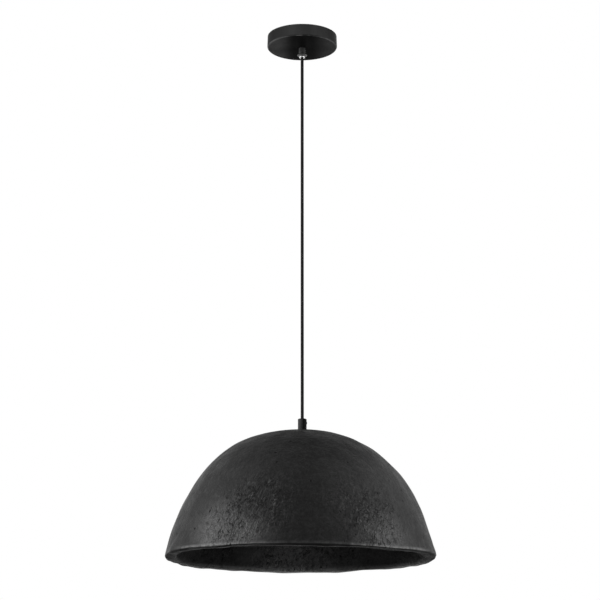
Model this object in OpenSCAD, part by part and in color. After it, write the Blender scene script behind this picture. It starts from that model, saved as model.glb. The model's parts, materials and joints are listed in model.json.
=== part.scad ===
// Pendant ceiling light: a thick moulded dome shade hung on a thin cord from a round steel canopy.
// Millimetres. The ceiling is the plane z = 0, the cord runs down the Z axis, everything hangs below.

/* [Canopy] */
// Diameter of the canopy at its widest, near its lower edge
canopy_d = 110; // [96:1:140]
// How much narrower the canopy is where it meets the ceiling
canopy_taper = 1.2; // [0:0.2:6]
// Depth of the canopy below the ceiling
canopy_h = 19.5; // [18:0.5:40]
// Sheet thickness of the canopy
canopy_wall = 1; // [0.6:0.1:1.5]
// Radius of the canopy's lower edge
canopy_edge_r = 3; // [1.5:0.5:5]

/* [Ceiling bracket] */
// Distance between the middles of the two ceiling screw slots
slot_spacing = 60; // [52:1:66]
// Length of each ceiling screw slot
slot_len = 16; // [8:1:20]
// Width of each ceiling screw slot
slot_w = 4.5; // [3.5:0.1:6]
// Width of the bracket strap
strap_w = 18; // [14:1:24]
// Thickness of the bracket's sheet
strap_t = 1.5; // [1:0.1:2]
// Width of the ears that take the canopy screws
ear_w = 12; // [10:1:14]
// How far the canopy screws lie below the ceiling
canopy_screw_drop = 8; // [6:0.5:11]
// Thread diameter of the canopy screws
canopy_screw_d = 4; // [3:0.5:5]
// Thread diameter of the earth screw
earth_screw_d = 4; // [3:0.5:5]

/* [Terminal block] */
// Distance between neighbouring terminals
pole_pitch = 8; // [7.5:0.5:10]
// Length of the terminal block along its tubes
block_len = 16; // [14:1:20]
// Height of the terminal block
block_h = 12.5; // [11:0.5:13]
// Outside diameter of the brass terminal tubes
tube_d = 4.4; // [4:0.1:5]
// Bore of the brass terminal tubes
tube_bore = 2.8; // [2.4:0.1:3.2]
// Thread diameter of the terminal screws
terminal_screw_d = 2.5; // [2:0.1:3]

/* [Canopy gland] */
// Diameter of the gland's straight sleeve
cgland_d = 10.6; // [9.5:0.1:12]
// Length of the straight sleeve below the canopy
cgland_len = 9; // [8:0.2:20]
// Diameter of the flared collar
collar_d = 15.2; // [13:0.2:20]
// Height of the flare from the sleeve to the collar's edge
collar_flare_h = 2.8; // [2:0.2:6]
// Height of the neck between the collar's edge and the silver ring
collar_neck_h = 2.2; // [1.5:0.1:4]
// Thread diameter of the gland's stud through the canopy
stud_d = 8; // [7.6:0.1:9]
// Thickness of the stud's locknut
locknut_t = 3; // [2:0.2:3.6]
// Thickness of the locknut's washer
locknut_washer_t = 0.8; // [0.5:0.1:1]
// Diameter of the silver ring
bush_d = 9.2; // [9.2:0.1:12]
// Height of the silver ring
bush_h = 2; // [1.5:0.1:4]
// Length of the ring's plug up inside the gland
bush_plug = 6; // [3:0.5:7]
// Wall of that plug
bush_wall = 1; // [0.7:0.1:1.3]

/* [Cord] */
// Diameter of the cord
cord_d = 4.8; // [4:0.1:5.2]
// Free length of the cord between the two glands
cord_len = 577; // [300:1:1500]
// Diameter of one insulated core of the cord
core_d = 1.8; // [1.6:0.1:2]
// Thread diameter of the screws that grip the cord
grip_screw_d = 3.6; // [3:0.1:4]

/* [Shade gland] */
// Diameter of the gland on the shade's crown
sgland_d = 13.2; // [12.6:0.1:16]
// Height of that gland
sgland_h = 19.5; // [18:0.5:40]
// How far the grip screw lies below the gland's top
sgland_screw_drop = 6.2; // [6:0.1:7]
// How far the grip screws stand out of their glands
grip_screw_out = 0.6; // [0.2:0.1:2]
// Thread diameter of the nipple
nipple_d = 10; // [9.6:0.1:10.4]
// Thickness of the nipple's wall
nipple_wall = 1.5; // [1.2:0.1:1.9]

/* [Shade] */
// Outside diameter of the shade
shade_d = 400; // [280:5:600]
// Height of the shade from its rim to the top of its crown
shade_h = 190; // [130:1:300]
// Thickness of the shade at the crown
crown_wall = 10; // [6:0.5:16]
// Width of the lip at the rim
lip_w = 17; // [10:0.5:24]
// Rounding of the lip's outer corner
lip_outer_r = 3; // [1.5:0.5:5]
// Rounding of the lip's inner corner
lip_inner_r = 4.5; // [1.5:0.5:5]
// Bend radius of the dome's crown, before it is fitted to the shade's size
crown_arc_r = 272; // [180:1:300]
// Bend radius of the dome's shoulder
shoulder_arc_r = 149; // [120:1:200]
// Bend radius of the dome's flank
flank_arc_r = 292; // [200:1:600]
// Slope at which the crown runs into the shoulder
crown_turn = 9.5; // [6:0.5:16]
// Slope at which the shoulder runs into the flank
shoulder_turn = 65.5; // [56:0.5:70]
// Slope of the side at the rim
rim_turn = 73.4; // [70:0.2:88]
// Diameter of the steel washer under the crown
backing_washer_d = 50; // [30:1:70]
// Thickness of the steel washer under the crown
backing_washer_t = 1.5; // [1:0.1:3]
// Thickness of the nut under the crown
nipple_nut_t = 4; // [3:0.2:6]

/* [Lampholder] */
// Outside diameter of the lampholder
holder_d = 41; // [40:0.5:46]
// Wall thickness of the lampholder's cap and body
holder_wall = 2; // [1.6:0.1:2.4]
// Height of the lampholder's cap
cap_h = 25; // [24:0.5:32]
// Height of the cap's threaded neck
cap_neck_h = 8; // [7:0.5:10]
// Number of grip grooves round the cap
grip_grooves = 24; // [12:1:36]
// Depth of the grip grooves
groove_depth = 0.6; // [0.3:0.1:1]
// How far the cap screws over the body
cap_lap = 8; // [6:0.5:9]
// How far the body reaches past the screw shell
shell_cover = 2; // [1:0.5:5]
// Height of the insert that carries the contacts
insert_h = 12; // [11:0.5:13]
// Inside radius of the screw shell that takes the lamp's E27 cap
shell_r = 13.3; // [13.2:0.05:13.5]
// Length of the screw shell's straight wall
shell_len = 20; // [18:0.5:22]
// Sheet thickness of the screw shell
shell_t = 0.5; // [0.4:0.05:0.6]
// Travel of the centre contact
contact_travel = 1.5; // [1:0.1:2]

/* [Fits] */
// Radial gap between a thread or plug and its hole
fit_gap = 0.05; // [0.02:0.01:0.08]
// Radial gap of a screw passing through a clearance hole
screw_gap = 0.2; // [0.1:0.05:0.3]
// Radial gap round the cord in the gland bores
cord_gap = 0.4; // [0.2:0.05:0.5]
// Gap between the bracket's ears and the canopy's wall
ear_gap = 0.5; // [0.3:0.1:0.8]
// Gap between a cord end and the ball it bends on
bend_gap = 0.1; // [0.05:0.05:0.3]

/* [Hidden] */
$fn = 64;

// Levels on the canopy side, from the ceiling down
strap_under = -strap_t;
canopy_inside = -canopy_h + canopy_wall;
stud_top = canopy_inside + locknut_washer_t + locknut_t + 1;
collar_edge = -canopy_h - cgland_len - collar_flare_h;
neck_under = collar_edge - collar_neck_h;
top_pivot = neck_under - bush_h;
sheath_top = stud_top + 2;
grip_top = -canopy_h - grip_screw_d / 2 - 1.2;
plug_top = neck_under + bush_plug;

// Levels on the shade side
bottom_pivot = top_pivot - cord_len;
crown = bottom_pivot - sgland_h;
rim = crown - shade_h;
grip_bottom = bottom_pivot - sgland_screw_drop;
nipple_grip = sgland_h - sgland_screw_drop - grip_screw_d / 2 - 1.8;

// Cord and bores
cord_r = cord_d / 2;
bore_r = cord_r + cord_gap;
mouth_r = bore_r + 1.1;
mouth_h = 3;
nipple_r = nipple_d / 2;
cord_mid = (top_pivot + bottom_pivot) / 2;
bend_reach = cord_r + bend_gap;
core_x = core_d / 2 + 0.25;
strand_r = core_d * 0.27;
core_gap = 0.15;
core_bend_r = core_d * 1.4;
core_step = core_d / 4;
cord_sides = 10;
cord_step = 12;

function arc(c, r, a0, a1, n) =
    [for (i = [0:n]) let (a = a0 + (a1 - a0) * i / n) [c[0] + r * cos(a), c[1] + r * sin(a)]];

function backwards(v) = [for (i = [len(v) - 1:-1:0]) v[i]];

function last(v) = v[len(v) - 1];

function all_but_last(v) = [for (i = [0:len(v) - 2]) v[i]];

// A round tube along a route of points, swept as rings that stay square to the route. Each ring
// starts on the side that "across" names, a direction that the route never runs along.
function route_dir(p, i) =
    let (a = p[max(i - 1, 0)], b = p[min(i + 1, len(p) - 1)], d = b - a) d / norm(d);

function ring_at(c, d, r, sides, across) =
    let (u1 = across - d * (across * d), u = u1 / norm(u1), v = cross(d, u))
    [for (k = [0:sides - 1]) c + r * (u * cos(360 * k / sides) + v * sin(360 * k / sides))];

module swept_tube(p, r, sides, across = [1, 0, 0]) {
    n = len(p);
    pts = [for (i = [0:n - 1]) each ring_at(p[i], route_dir(p, i), r, sides, across)];
    walls = [for (i = [0:n - 2], k = [0:sides - 1])
        let (a = i * sides + k, b = i * sides + (k + 1) % sides)
        [b, a, a + sides, b + sides]];
    ends = [[for (k = [0:sides - 1]) k], [for (k = [sides - 1:-1:0]) (n - 1) * sides + k]];
    polyhedron(pts, concat(walls, ends));
}

// Points along a straight vertical stretch, a ring every cord_step or so.
function straight_route(z0, z1) =
    let (n = ceil(abs(z1 - z0) / cord_step)) [for (i = [0:n]) [0, 0, z0 + (z1 - z0) * i / n]];

// A double bend from p to q that starts and ends along u: an arc, a straight and the arc back.
function double_bend(p, q, u, r, n) =
    let (ahead = (q - p) * u, side = q - p - ahead * u, aside = norm(side), v = side / aside,
        gap = norm([ahead, aside - 2 * r]),
        turn = atan2(aside - 2 * r, ahead) + asin(min(1, 2 * r / gap)),
        curve = [for (i = [0:n]) let (a = turn * i / n) r * (u * sin(a) + v * (1 - cos(a)))])
    concat([for (c = curve) p + c], [for (c = backwards(curve)) q - c]);

module tube(r_out, r_in, z0, z1) {
    translate([0, 0, min(z0, z1)]) difference() {
        cylinder(r = r_out, h = abs(z1 - z0));
        translate([0, 0, -1]) cylinder(r = r_in, h = abs(z1 - z0) + 2);
    }
}

module hex_nut(across_flats, r_in, z0, z1) {
    translate([0, 0, z0]) difference() {
        cylinder(d = across_flats / cos(30), h = z1 - z0, $fn = 6);
        translate([0, 0, -1]) cylinder(r = r_in, h = z1 - z0 + 2);
    }
}

// A grub screw along +X, from its flat tip at x0 to its socket end at x1.
module grub_screw(d, x0, x1) {
    rotate([0, 90, 0]) translate([0, 0, x0]) difference() {
        cylinder(d = d, h = x1 - x0, $fn = 32);
        translate([0, 0, x1 - x0 - d / 2]) cylinder(d = d * 0.55, h = d, $fn = 6);
    }
}

// ---- Canopy side ----

edge_c = [canopy_d / 2 - canopy_edge_r, -canopy_h + canopy_edge_r];
canopy_lean = atan(canopy_taper / 2 / (canopy_h - canopy_edge_r));

// Outside radius of the canopy's leaning wall at a level z above its rounded edge.
function canopy_r(z) =
    edge_c[0] + canopy_edge_r * cos(canopy_lean)
    - (z - edge_c[1] - canopy_edge_r * sin(canopy_lean)) * tan(canopy_lean);

canopy_screw_z = -canopy_screw_drop;
ear_top_r = canopy_r(0) - canopy_wall;
ear_x = sqrt(pow(ear_top_r, 2) - pow(ear_w / 2, 2)) - ear_gap;
ear_drop = canopy_screw_drop + canopy_screw_d;
ear_boss_h = 1.5;

module canopy() {
    hole = stud_d / 2 + screw_gap;
    outside = concat([[hole, -canopy_h]], arc(edge_c, canopy_edge_r, -90, canopy_lean, 8),
        [[canopy_r(0), 0]]);
    inside = concat([[hole, canopy_inside]],
        arc(edge_c, canopy_edge_r - canopy_wall, -90, canopy_lean, 8),
        [[canopy_r(0) - canopy_wall / cos(canopy_lean), 0]]);
    color("#2b2b2b") difference() {
        rotate_extrude($fn = 128) polygon(concat(outside, backwards(inside)));
        for (s = [-1, 1]) translate([s * ear_x, 0, canopy_screw_z]) rotate([0, s * 90, 0])
            cylinder(d = canopy_screw_d + 2 * screw_gap, h = 10, $fn = 32);
    }
}

module canopy_screws() {
    color("#3a3a3a") for (s = [0, 180]) rotate([0, 0, s]) translate([0, 0, canopy_screw_z])
        grub_screw(canopy_screw_d, ear_x - strap_t - ear_boss_h - 1, canopy_r(canopy_screw_z) - 0.3);
}

block_w = 3 * pole_pitch + 1;
block_y = strap_w / 2 + 2;
block_end = block_y + block_len;
tube_r = tube_d / 2;
tube_z = strap_under - block_h * 0.55;
peg_r = 1.5;
slot_end = slot_spacing / 2 - slot_len / 2;
earth_x = slot_end - earth_screw_d - 3;

// The two pegs by which the terminal block snaps into the bracket's tab.
module at_pegs() {
    for (s = [-1, 1])
        translate([s * pole_pitch / 2, (block_y + block_end) / 2, 0]) children();
}

module strap_outline() {
    trim = (strap_w - ear_w) / 2;
    side = [[ear_x, -ear_w / 2], [ear_x, ear_w / 2], [ear_x - trim, strap_w / 2]];
    polygon(concat([[-ear_x + trim, -strap_w / 2], [ear_x - trim, -strap_w / 2]], side,
        [[-ear_x + trim, strap_w / 2], [-ear_x, ear_w / 2], [-ear_x, -ear_w / 2]]));
    translate([-block_w / 2, 0]) square([block_w, block_end]);
}

module slot_outline() {
    straight = slot_len - slot_w;
    for (e = [-1, 1]) translate([e * straight / 2, 0]) circle(d = slot_w);
    square([straight, slot_w], center = true);
}

module ceiling_bracket() {
    color("#b9bcbe") difference() {
        union() {
            translate([0, 0, strap_under]) linear_extrude(strap_t) difference() {
                strap_outline();
                for (s = [-1, 1]) translate([s * slot_spacing / 2, 0]) slot_outline();
                translate([-earth_x, 0]) circle(r = earth_screw_d / 2 + fit_gap);
                at_pegs() circle(r = peg_r + fit_gap);
            }
            for (s = [0, 180]) rotate([0, 0, s]) {
                translate([ear_x - strap_t, -ear_w / 2, -ear_drop])
                    cube([strap_t, ear_w, ear_drop]);
                translate([ear_x - strap_t - ear_boss_h, 0, canopy_screw_z]) rotate([0, 90, 0])
                    cylinder(d = canopy_screw_d + 3, h = strap_t + ear_boss_h, $fn = 32);
            }
        }
        for (s = [0, 180]) rotate([0, 0, s]) translate([0, 0, canopy_screw_z])
            rotate([0, 90, 0])
                cylinder(r = canopy_screw_d / 2 + fit_gap, h = 2 * ear_x, $fn = 32);
    }
}

module earth_screw() {
    head_h = 2.2;
    color("#c8a24a") difference() {
        union() {
            translate([-earth_x, 0, strap_under - 2]) cylinder(d = earth_screw_d, h = strap_t + 2);
            translate([-earth_x, 0, strap_under - head_h])
                cylinder(d = earth_screw_d * 1.9, h = head_h);
        }
        translate([-earth_x, 0, strap_under - head_h])
            cube([earth_screw_d * 2, 0.9, 2], center = true);
    }
}

module at_poles() {
    for (i = [-1:1]) translate([i * pole_pitch, 0, 0]) children();
}

module at_terminal_screws() {
    at_poles() for (y = [block_y + 4, block_end - 4]) translate([0, y, 0]) children();
}

module terminal_block() {
    bottom = strap_under - block_h;
    barrel_r = tube_r + 1;
    chimney_r = terminal_screw_d / 2 + 1.2;
    color("#e8e6df") difference() {
        union() {
            translate([-block_w / 2, block_y, tube_z])
                cube([block_w, block_len, strap_under - tube_z]);
            at_poles() translate([0, block_y, tube_z]) rotate([-90, 0, 0])
                cylinder(r = barrel_r, h = block_len);
            at_terminal_screws() translate([0, 0, bottom])
                cylinder(r = chimney_r, h = tube_z - bottom);
            at_pegs() translate([0, 0, tube_z]) cylinder(r = peg_r, h = -tube_z - 0.2);
        }
        at_poles() translate([0, block_y - 1, tube_z]) rotate([-90, 0, 0])
            cylinder(r = tube_r + fit_gap, h = block_len + 2);
        at_terminal_screws() translate([0, 0, bottom - 1])
            cylinder(r = terminal_screw_d / 2 + screw_gap, h = tube_z - bottom);
    }
}

module terminal_tubes() {
    inset = 0.5;
    color("#c8a24a") difference() {
        at_poles() translate([0, block_y + inset, tube_z]) rotate([-90, 0, 0])
            cylinder(r = tube_r, h = block_len - 2 * inset);
        at_poles() translate([0, block_y - 1, tube_z]) rotate([-90, 0, 0])
            cylinder(d = tube_bore, h = block_len + 2, $fn = 32);
        at_terminal_screws() translate([0, 0, tube_z - tube_d])
            cylinder(r = terminal_screw_d / 2 + fit_gap, h = tube_d, $fn = 32);
    }
}

module terminal_screws() {
    low = strap_under - block_h + 0.8;
    tip = tube_z - strand_r - fit_gap;
    color("#b9bcbe") at_terminal_screws() difference() {
        translate([0, 0, low]) cylinder(d = terminal_screw_d, h = tip - low, $fn = 32);
        translate([0, 0, low]) cube([terminal_screw_d * 2, 0.5, 1.2], center = true);
    }
}

// One core of the cord: insulated along its route, then a bare strand from its end.
module core_wire(route, strand_to, across) {
    run = strand_to - last(route);
    swept_tube(route, core_d / 2, 8, across);
    swept_tube([last(route) - run * 0.1, strand_to], strand_r, 8, across);
}

// side is -1 for the live pole and 1 for the neutral pole. The core rises out of the sheath, bends
// over level with its terminal tube, and swings out to it.
module canopy_core(side) {
    start = [side * core_x, 0, sheath_top + core_gap];
    rise = tube_z - start[2];
    r = min(rise - core_step, core_bend_r);
    over = [for (i = [0:5]) let (a = 90 * i / 5)
        [start[0], r * (1 - cos(a)), tube_z - r + r * sin(a)]];
    inlet = [side * pole_pitch, block_y - core_gap, tube_z];
    route = concat([start], over,
        double_bend([start[0], r + core_step, tube_z], inlet, [0, 1, 0], core_bend_r, 5));
    core_wire(route, [inlet[0], block_y + 6, tube_z], [1, 0, 0]);
}

module live_core() { color("#7a4a2a") canopy_core(-1); }

module neutral_core() { color("#3a62a8") canopy_core(1); }

module canopy_gland() {
    stud_r = stud_d / 2;
    sleeve_r = cgland_d / 2;
    collar_r = collar_d / 2;
    color("#1d1d1d") difference() {
        rotate_extrude() polygon(concat(
            [[bore_r, stud_top], [stud_r - 0.4, stud_top], [stud_r, stud_top - 0.4],
                [stud_r, -canopy_h], [sleeve_r, -canopy_h],
                [sleeve_r, -canopy_h - cgland_len]],
            arc([collar_r - 0.5, collar_edge], 0.5, 45, -45, 4),
            [[bush_d / 2 + 0.4, neck_under], [bore_r + bush_wall, neck_under],
                [bore_r + bush_wall, plug_top], [bore_r, plug_top]]));
        translate([0, 0, grip_top]) rotate([0, 90, 0])
            cylinder(r = grip_screw_d / 2 + fit_gap, h = collar_d, $fn = 32);
    }
}

module gland_bush() {
    ring_r = bush_d / 2;
    plug_r = bore_r + bush_wall - fit_gap;
    color("#c9c9c9") rotate_extrude() polygon(concat(
        [[bore_r, plug_top], [plug_r, plug_top], [plug_r, neck_under], [ring_r, neck_under]],
        arc([ring_r - 0.4, top_pivot + 0.4], 0.4, 0, -90, 4),
        [[mouth_r, top_pivot], [bore_r, top_pivot + mouth_h]]));
}

module gland_washer() {
    color("#b9bcbe")
        tube(stud_d, stud_d / 2 + screw_gap, canopy_inside, canopy_inside + locknut_washer_t);
}

module gland_locknut() {
    low = canopy_inside + locknut_washer_t;
    color("#b9bcbe") hex_nut(stud_d + 5, stud_d / 2 + fit_gap, low, low + locknut_t);
}

module gland_screw() {
    color("#3a3a3a") translate([0, 0, grip_top])
        grub_screw(grip_screw_d, cord_r + fit_gap, cgland_d / 2 + grip_screw_out);
}

module cord_in_canopy() {
    low = top_pivot + bend_reach;
    color("#202020") translate([0, 0, low]) cylinder(r = cord_r, h = sheath_top - low, $fn = 32);
}

// ---- Cord between the glands ----

module cord_top_bend() {
    color("#202020") translate([0, 0, top_pivot]) sphere(r = cord_r, $fn = 32);
}

module cord_upper() {
    color("#202020")
        swept_tube(straight_route(top_pivot - bend_reach, cord_mid + bend_gap / 2),
            cord_r, cord_sides);
}

module cord_lower() {
    color("#202020")
        swept_tube(straight_route(cord_mid - bend_gap / 2, bottom_pivot + bend_reach),
            cord_r, cord_sides);
}

module cord_bottom_bend() {
    color("#202020") translate([0, 0, bottom_pivot]) sphere(r = cord_r, $fn = 32);
}

// ---- Shade side ----

module shade_gland() {
    r = sgland_d / 2;
    socket_r = nipple_r + fit_gap;
    color("#1d1d1d") difference() {
        rotate_extrude() polygon(concat(
            [[bore_r, bottom_pivot - mouth_h], [mouth_r, bottom_pivot]],
            arc([r - 1, bottom_pivot - 1], 1, 90, 0, 5),
            [[r, crown + 1.4], [r + gland_foot, crown + 0.6], [r + gland_foot, crown],
                [socket_r, crown], [socket_r, crown + nipple_grip],
                [bore_r, crown + nipple_grip]]));
        translate([0, 0, grip_bottom]) rotate([0, 90, 0])
            cylinder(r = grip_screw_d / 2 + fit_gap, h = sgland_d, $fn = 32);
    }
}

module shade_gland_screw() {
    color("#3a3a3a") translate([0, 0, grip_bottom])
        grub_screw(grip_screw_d, cord_r + fit_gap, sgland_d / 2 + grip_screw_out);
}

module threaded_nipple() {
    color("#b9bcbe")
        tube(nipple_r, nipple_r - nipple_wall, nipple_bottom, crown + nipple_grip - 0.2);
}

function bend(from, r, a0, a1, n) =
    [for (i = [1:n]) let (a = a0 + (a1 - a0) * i / n)
        [from[0] + r * (sin(a) - sin(a0)), from[1] - r * (cos(a0) - cos(a))]];

// The dome's side from the crown down: three arcs that run into one another.
crown_bend = bend([0, 0], crown_arc_r, 0, crown_turn, 6);
shoulder_bend = bend(last(crown_bend), shoulder_arc_r, crown_turn, shoulder_turn, 12);
flank_bend = bend(last(shoulder_bend), flank_arc_r, shoulder_turn, rim_turn, 6);
dome_line = concat(crown_bend, shoulder_bend, flank_bend);
dome_end = last(dome_line);
rim_lean = 90 - rim_turn;

// The dome's side stretched to end at a radius and a drop below the crown, beyond a flat pad.
function dome_side(end_r, drop, top, pad_r) =
    [for (p = dome_line) let (x = p[0] * end_r / dome_end[0])
        if (x > pad_r + 1) [x, top - p[1] * drop / dome_end[1]]];

// How far the stretched crown has fallen at radius x.
function crown_fall(x, end_r, drop) =
    let (a = asin(x * dome_end[0] / end_r / crown_arc_r))
    crown_arc_r * (1 - cos(a)) * drop / -dome_end[1];

outer_end_r = shade_d / 2 - lip_outer_r * (1 - cos(rim_lean));
outer_drop = shade_h - lip_outer_r * (1 + sin(rim_lean));
inner_end_r = shade_d / 2 - lip_w + lip_inner_r * (1 - cos(rim_lean));
inner_drop = shade_h - crown_wall - lip_inner_r * (1 - sin(rim_lean));
gland_foot = 0.7;
outer_pad_r = sgland_d / 2 + gland_foot + 0.5;
inner_pad_r = backing_washer_d / 2 + 1;
inner_pad = crown - crown_wall - crown_fall(inner_pad_r, inner_end_r, inner_drop);

module shade() {
    hole = nipple_r + screw_gap;
    outer_lip = [shade_d / 2 - lip_outer_r, rim + lip_outer_r];
    inner_lip = [shade_d / 2 - lip_w + lip_inner_r, rim + lip_inner_r];
    color("#333333") rotate_extrude($fn = 160) polygon(concat(
        [[hole, crown], [outer_pad_r, crown]],
        all_but_last(dome_side(outer_end_r, outer_drop, crown, outer_pad_r)),
        arc(outer_lip, lip_outer_r, rim_lean, -90, 6),
        arc(inner_lip, lip_inner_r, -90, rim_lean - 180, 6),
        backwards(all_but_last(
            dome_side(inner_end_r, inner_drop, crown - crown_wall, inner_pad_r))),
        [[inner_pad_r, inner_pad], [hole, inner_pad]]));
}

washer_under = inner_pad - backing_washer_t;
cap_top = washer_under - nipple_nut_t;
neck_end = cap_top - cap_neck_h;
nipple_bottom = neck_end + 0.5;
sheath_bottom = nipple_bottom - 1.5;

module backing_washer() {
    color("#b9bcbe")
        tube(backing_washer_d / 2, nipple_r + screw_gap, washer_under, inner_pad);
}

module nipple_nut() {
    color("#b9bcbe") hex_nut(nipple_d + 5, nipple_r + fit_gap, cap_top, washer_under);
}

module cord_in_shade() {
    high = bottom_pivot - bend_reach;
    color("#202020") translate([0, 0, sheath_bottom])
        cylinder(r = cord_r, h = high - sheath_bottom, $fn = 32);
}

// ---- Lampholder ----

holder_r = holder_d / 2;
cap_end = cap_top - cap_h;
cap_skirt_r = holder_r - holder_wall;
cap_shoulder = cap_top - cap_neck_h + 3;
cap_neck_r = nipple_r + 3;
cap_round = 9;
lock_screw_d = 2.5;
groove_r = 1.4;

insert_top = cap_end + cap_lap;
insert_end = insert_top - insert_h;
insert_r = holder_r - 2 * holder_wall;
shell_shoulder = 5;
shell_top = insert_end - shell_shoulder;
shell_end = shell_top - shell_len;
holder_end = shell_end - shell_cover;
shell_out = shell_r + shell_t;

term_x = insert_r * 0.58;
term_s = 6.6;
term_top = insert_top - 0.5;
term_screw_z = insert_top - 4;
live_term_end = insert_end + 3;
pocket_floor = insert_top - 5;
strip_t = 0.5;

stem_r = 2;
stem_gap = 0.08;
collar_top = pocket_floor + strip_t + 1;
contact_r = 4;
contact_t = 1.2;
contact_back = insert_end - 1.5 - contact_travel;
contact_end = contact_back - contact_t;
spring_seat = insert_end + 1.5;
spring_r = 3.1;
spring_wire_r = 0.3;

module lampholder_cap() {
    round_c = [holder_r - cap_round, cap_shoulder - cap_round];
    hole = nipple_r + fit_gap;
    color("#1a1a1a") difference() {
        rotate_extrude() polygon(concat(
            [[hole, cap_top], [cap_neck_r, cap_top], [cap_neck_r, cap_shoulder]],
            arc(round_c, cap_round, 90, 0, 8),
            [[holder_r, cap_end], [cap_skirt_r, cap_end]],
            arc(round_c, cap_round - holder_wall, 0, 90, 8),
            [[cap_neck_r, cap_shoulder - holder_wall], [cap_neck_r, neck_end],
                [hole, neck_end]]));
        translate([0, 0, (cap_top + cap_shoulder) / 2]) rotate([0, 0, 90]) rotate([0, 90, 0])
            cylinder(r = lock_screw_d / 2 + fit_gap, h = 2 * cap_neck_r, $fn = 32);
        for (i = [0:grip_grooves - 1]) rotate([0, 0, 360 * (i + 0.5) / grip_grooves])
            translate([holder_r + groove_r - groove_depth, 0, cap_end + 1.2])
                cylinder(r = groove_r, h = cap_h, $fn = 24);
    }
}

module cap_lock_screw() {
    color("#b9bcbe") rotate([0, 0, 90]) translate([0, 0, (cap_top + cap_shoulder) / 2])
        grub_screw(lock_screw_d, nipple_r + fit_gap, cap_neck_r);
}

module lampholder_body() {
    ledge_r = insert_r - 1.3;
    lip_r = shell_out + 0.8;
    color("#1a1a1a") rotate_extrude() polygon([
        [insert_r + fit_gap, insert_top], [cap_skirt_r - fit_gap, insert_top],
        [cap_skirt_r - fit_gap, cap_end], [holder_r, cap_end], [holder_r, holder_end + 1],
        [holder_r - 1, holder_end], [lip_r, holder_end], [lip_r, holder_end + shell_cover],
        [ledge_r, holder_end + shell_cover + 0.6], [ledge_r, insert_end],
        [insert_r + fit_gap, insert_end]]);
}

module at_terminals() {
    for (s = [0, 180]) rotate([0, 0, s]) translate([term_x, 0, 0]) children();
}

// side is -1 for the live terminal and 1 for the neutral one, which reaches the screw shell.
module terminal_body(side, grow) {
    low = side > 0 ? insert_end : live_term_end;
    size = term_s + 2 * grow;
    translate([side * term_x - size / 2, -size / 2, low - (side > 0 ? grow : 0)])
        cube([size, size, insert_top - low + grow - (grow > 0 ? 0 : insert_top - term_top)]);
}

module lampholder_insert() {
    slot_w2 = 2 * stem_r + 1.4;
    color("#e8e6df") difference() {
        translate([0, 0, insert_end]) cylinder(r = insert_r, h = insert_h);
        for (side = [-1, 1]) terminal_body(side, fit_gap);
        at_terminals() translate([0, 0, term_screw_z]) rotate([0, 90, 0])
            cylinder(d = terminal_screw_d + 2 * screw_gap + 0.4, h = insert_r, $fn = 32);
        translate([0, 0, insert_end - 1]) cylinder(r = stem_r + stem_gap, h = insert_h + 2);
        translate([0, 0, pocket_floor]) cylinder(r = contact_r, h = insert_h);
        translate([-term_x, -slot_w2 / 2, pocket_floor]) cube([term_x, slot_w2, insert_h]);
        translate([0, 0, insert_end - 1])
            cylinder(r = spring_r + spring_wire_r + 0.3, h = spring_seat - insert_end + 1);
    }
}

module holder_terminals() {
    color("#c8a24a") difference() {
        for (side = [-1, 1]) terminal_body(side, 0);
        at_terminals() {
            translate([0, 0, term_top - 7]) cylinder(r = strand_r + 0.35, h = 8, $fn = 32);
            translate([0, 0, term_screw_z]) rotate([0, 90, 0])
                cylinder(r = terminal_screw_d / 2 + fit_gap, h = term_s, $fn = 32);
        }
    }
}

module holder_terminal_screws() {
    color("#b9bcbe") for (s = [0, 180]) rotate([0, 0, s]) translate([0, 0, term_screw_z])
        grub_screw(terminal_screw_d, term_x + strand_r + fit_gap, insert_r - 0.8);
}

module live_strip() {
    color("#c8a24a") translate([0, 0, pocket_floor]) difference() {
        union() {
            cylinder(r = contact_r - 0.3, h = strip_t);
            translate([-term_x + term_s / 2, -stem_r, 0])
                cube([term_x - term_s / 2, 2 * stem_r, strip_t]);
        }
        translate([0, 0, -1]) cylinder(r = stem_r + 2 * stem_gap, h = strip_t + 2);
    }
}

module screw_shell() {
    round_c = [shell_out - shell_shoulder, shell_top];
    eye = contact_r + 1.2;
    color("#c9c9c9") rotate_extrude() polygon(concat(
        [[eye, insert_end]], arc(round_c, shell_shoulder, 90, 0, 8),
        [[shell_out, shell_end], [shell_r, shell_end]],
        arc(round_c, shell_shoulder - shell_t, 0, 90, 8),
        [[eye, insert_end - shell_t]]));
}

module centre_contact() {
    color("#c8a24a") rotate_extrude() polygon(concat(
        [[0, collar_top], [stem_r + 1.2, collar_top], [stem_r + 1.2, collar_top - 1],
            [stem_r, collar_top - 1], [stem_r, contact_back], [contact_r, contact_back]],
        arc([contact_r - 0.8, contact_end + 0.8], 0.8, 0, -90, 4),
        [[0, contact_end]]));
}

module contact_spring() {
    turns = 3.5;
    low = contact_back + spring_wire_r;
    rise = spring_seat - spring_wire_r - low;
    n = 42;
    helix = [for (i = [0:n]) let (a = 360 * turns * i / n)
        [spring_r * cos(a), spring_r * sin(a), low + rise * i / n]];
    color("#d0d2d4") swept_tube(helix, spring_wire_r, 6, [0, 0, 1]);
}

// side is -1 for the live terminal and 1 for the neutral one.
module holder_core(side) {
    start = [side * core_x, 0, sheath_bottom - core_gap];
    above = [side * term_x, 0, insert_top + 0.6];
    route = concat([start],
        double_bend(start - [0, 0, core_step], above, [0, 0, -1], core_bend_r, 5),
        [[side * term_x, 0, term_top + 0.2]]);
    core_wire(route, [side * term_x, 0, term_top - 6], [0, 1, 0]);
}

module holder_live_core() { color("#7a4a2a") holder_core(-1); }

module holder_neutral_core() { color("#3a62a8") holder_core(1); }

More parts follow.
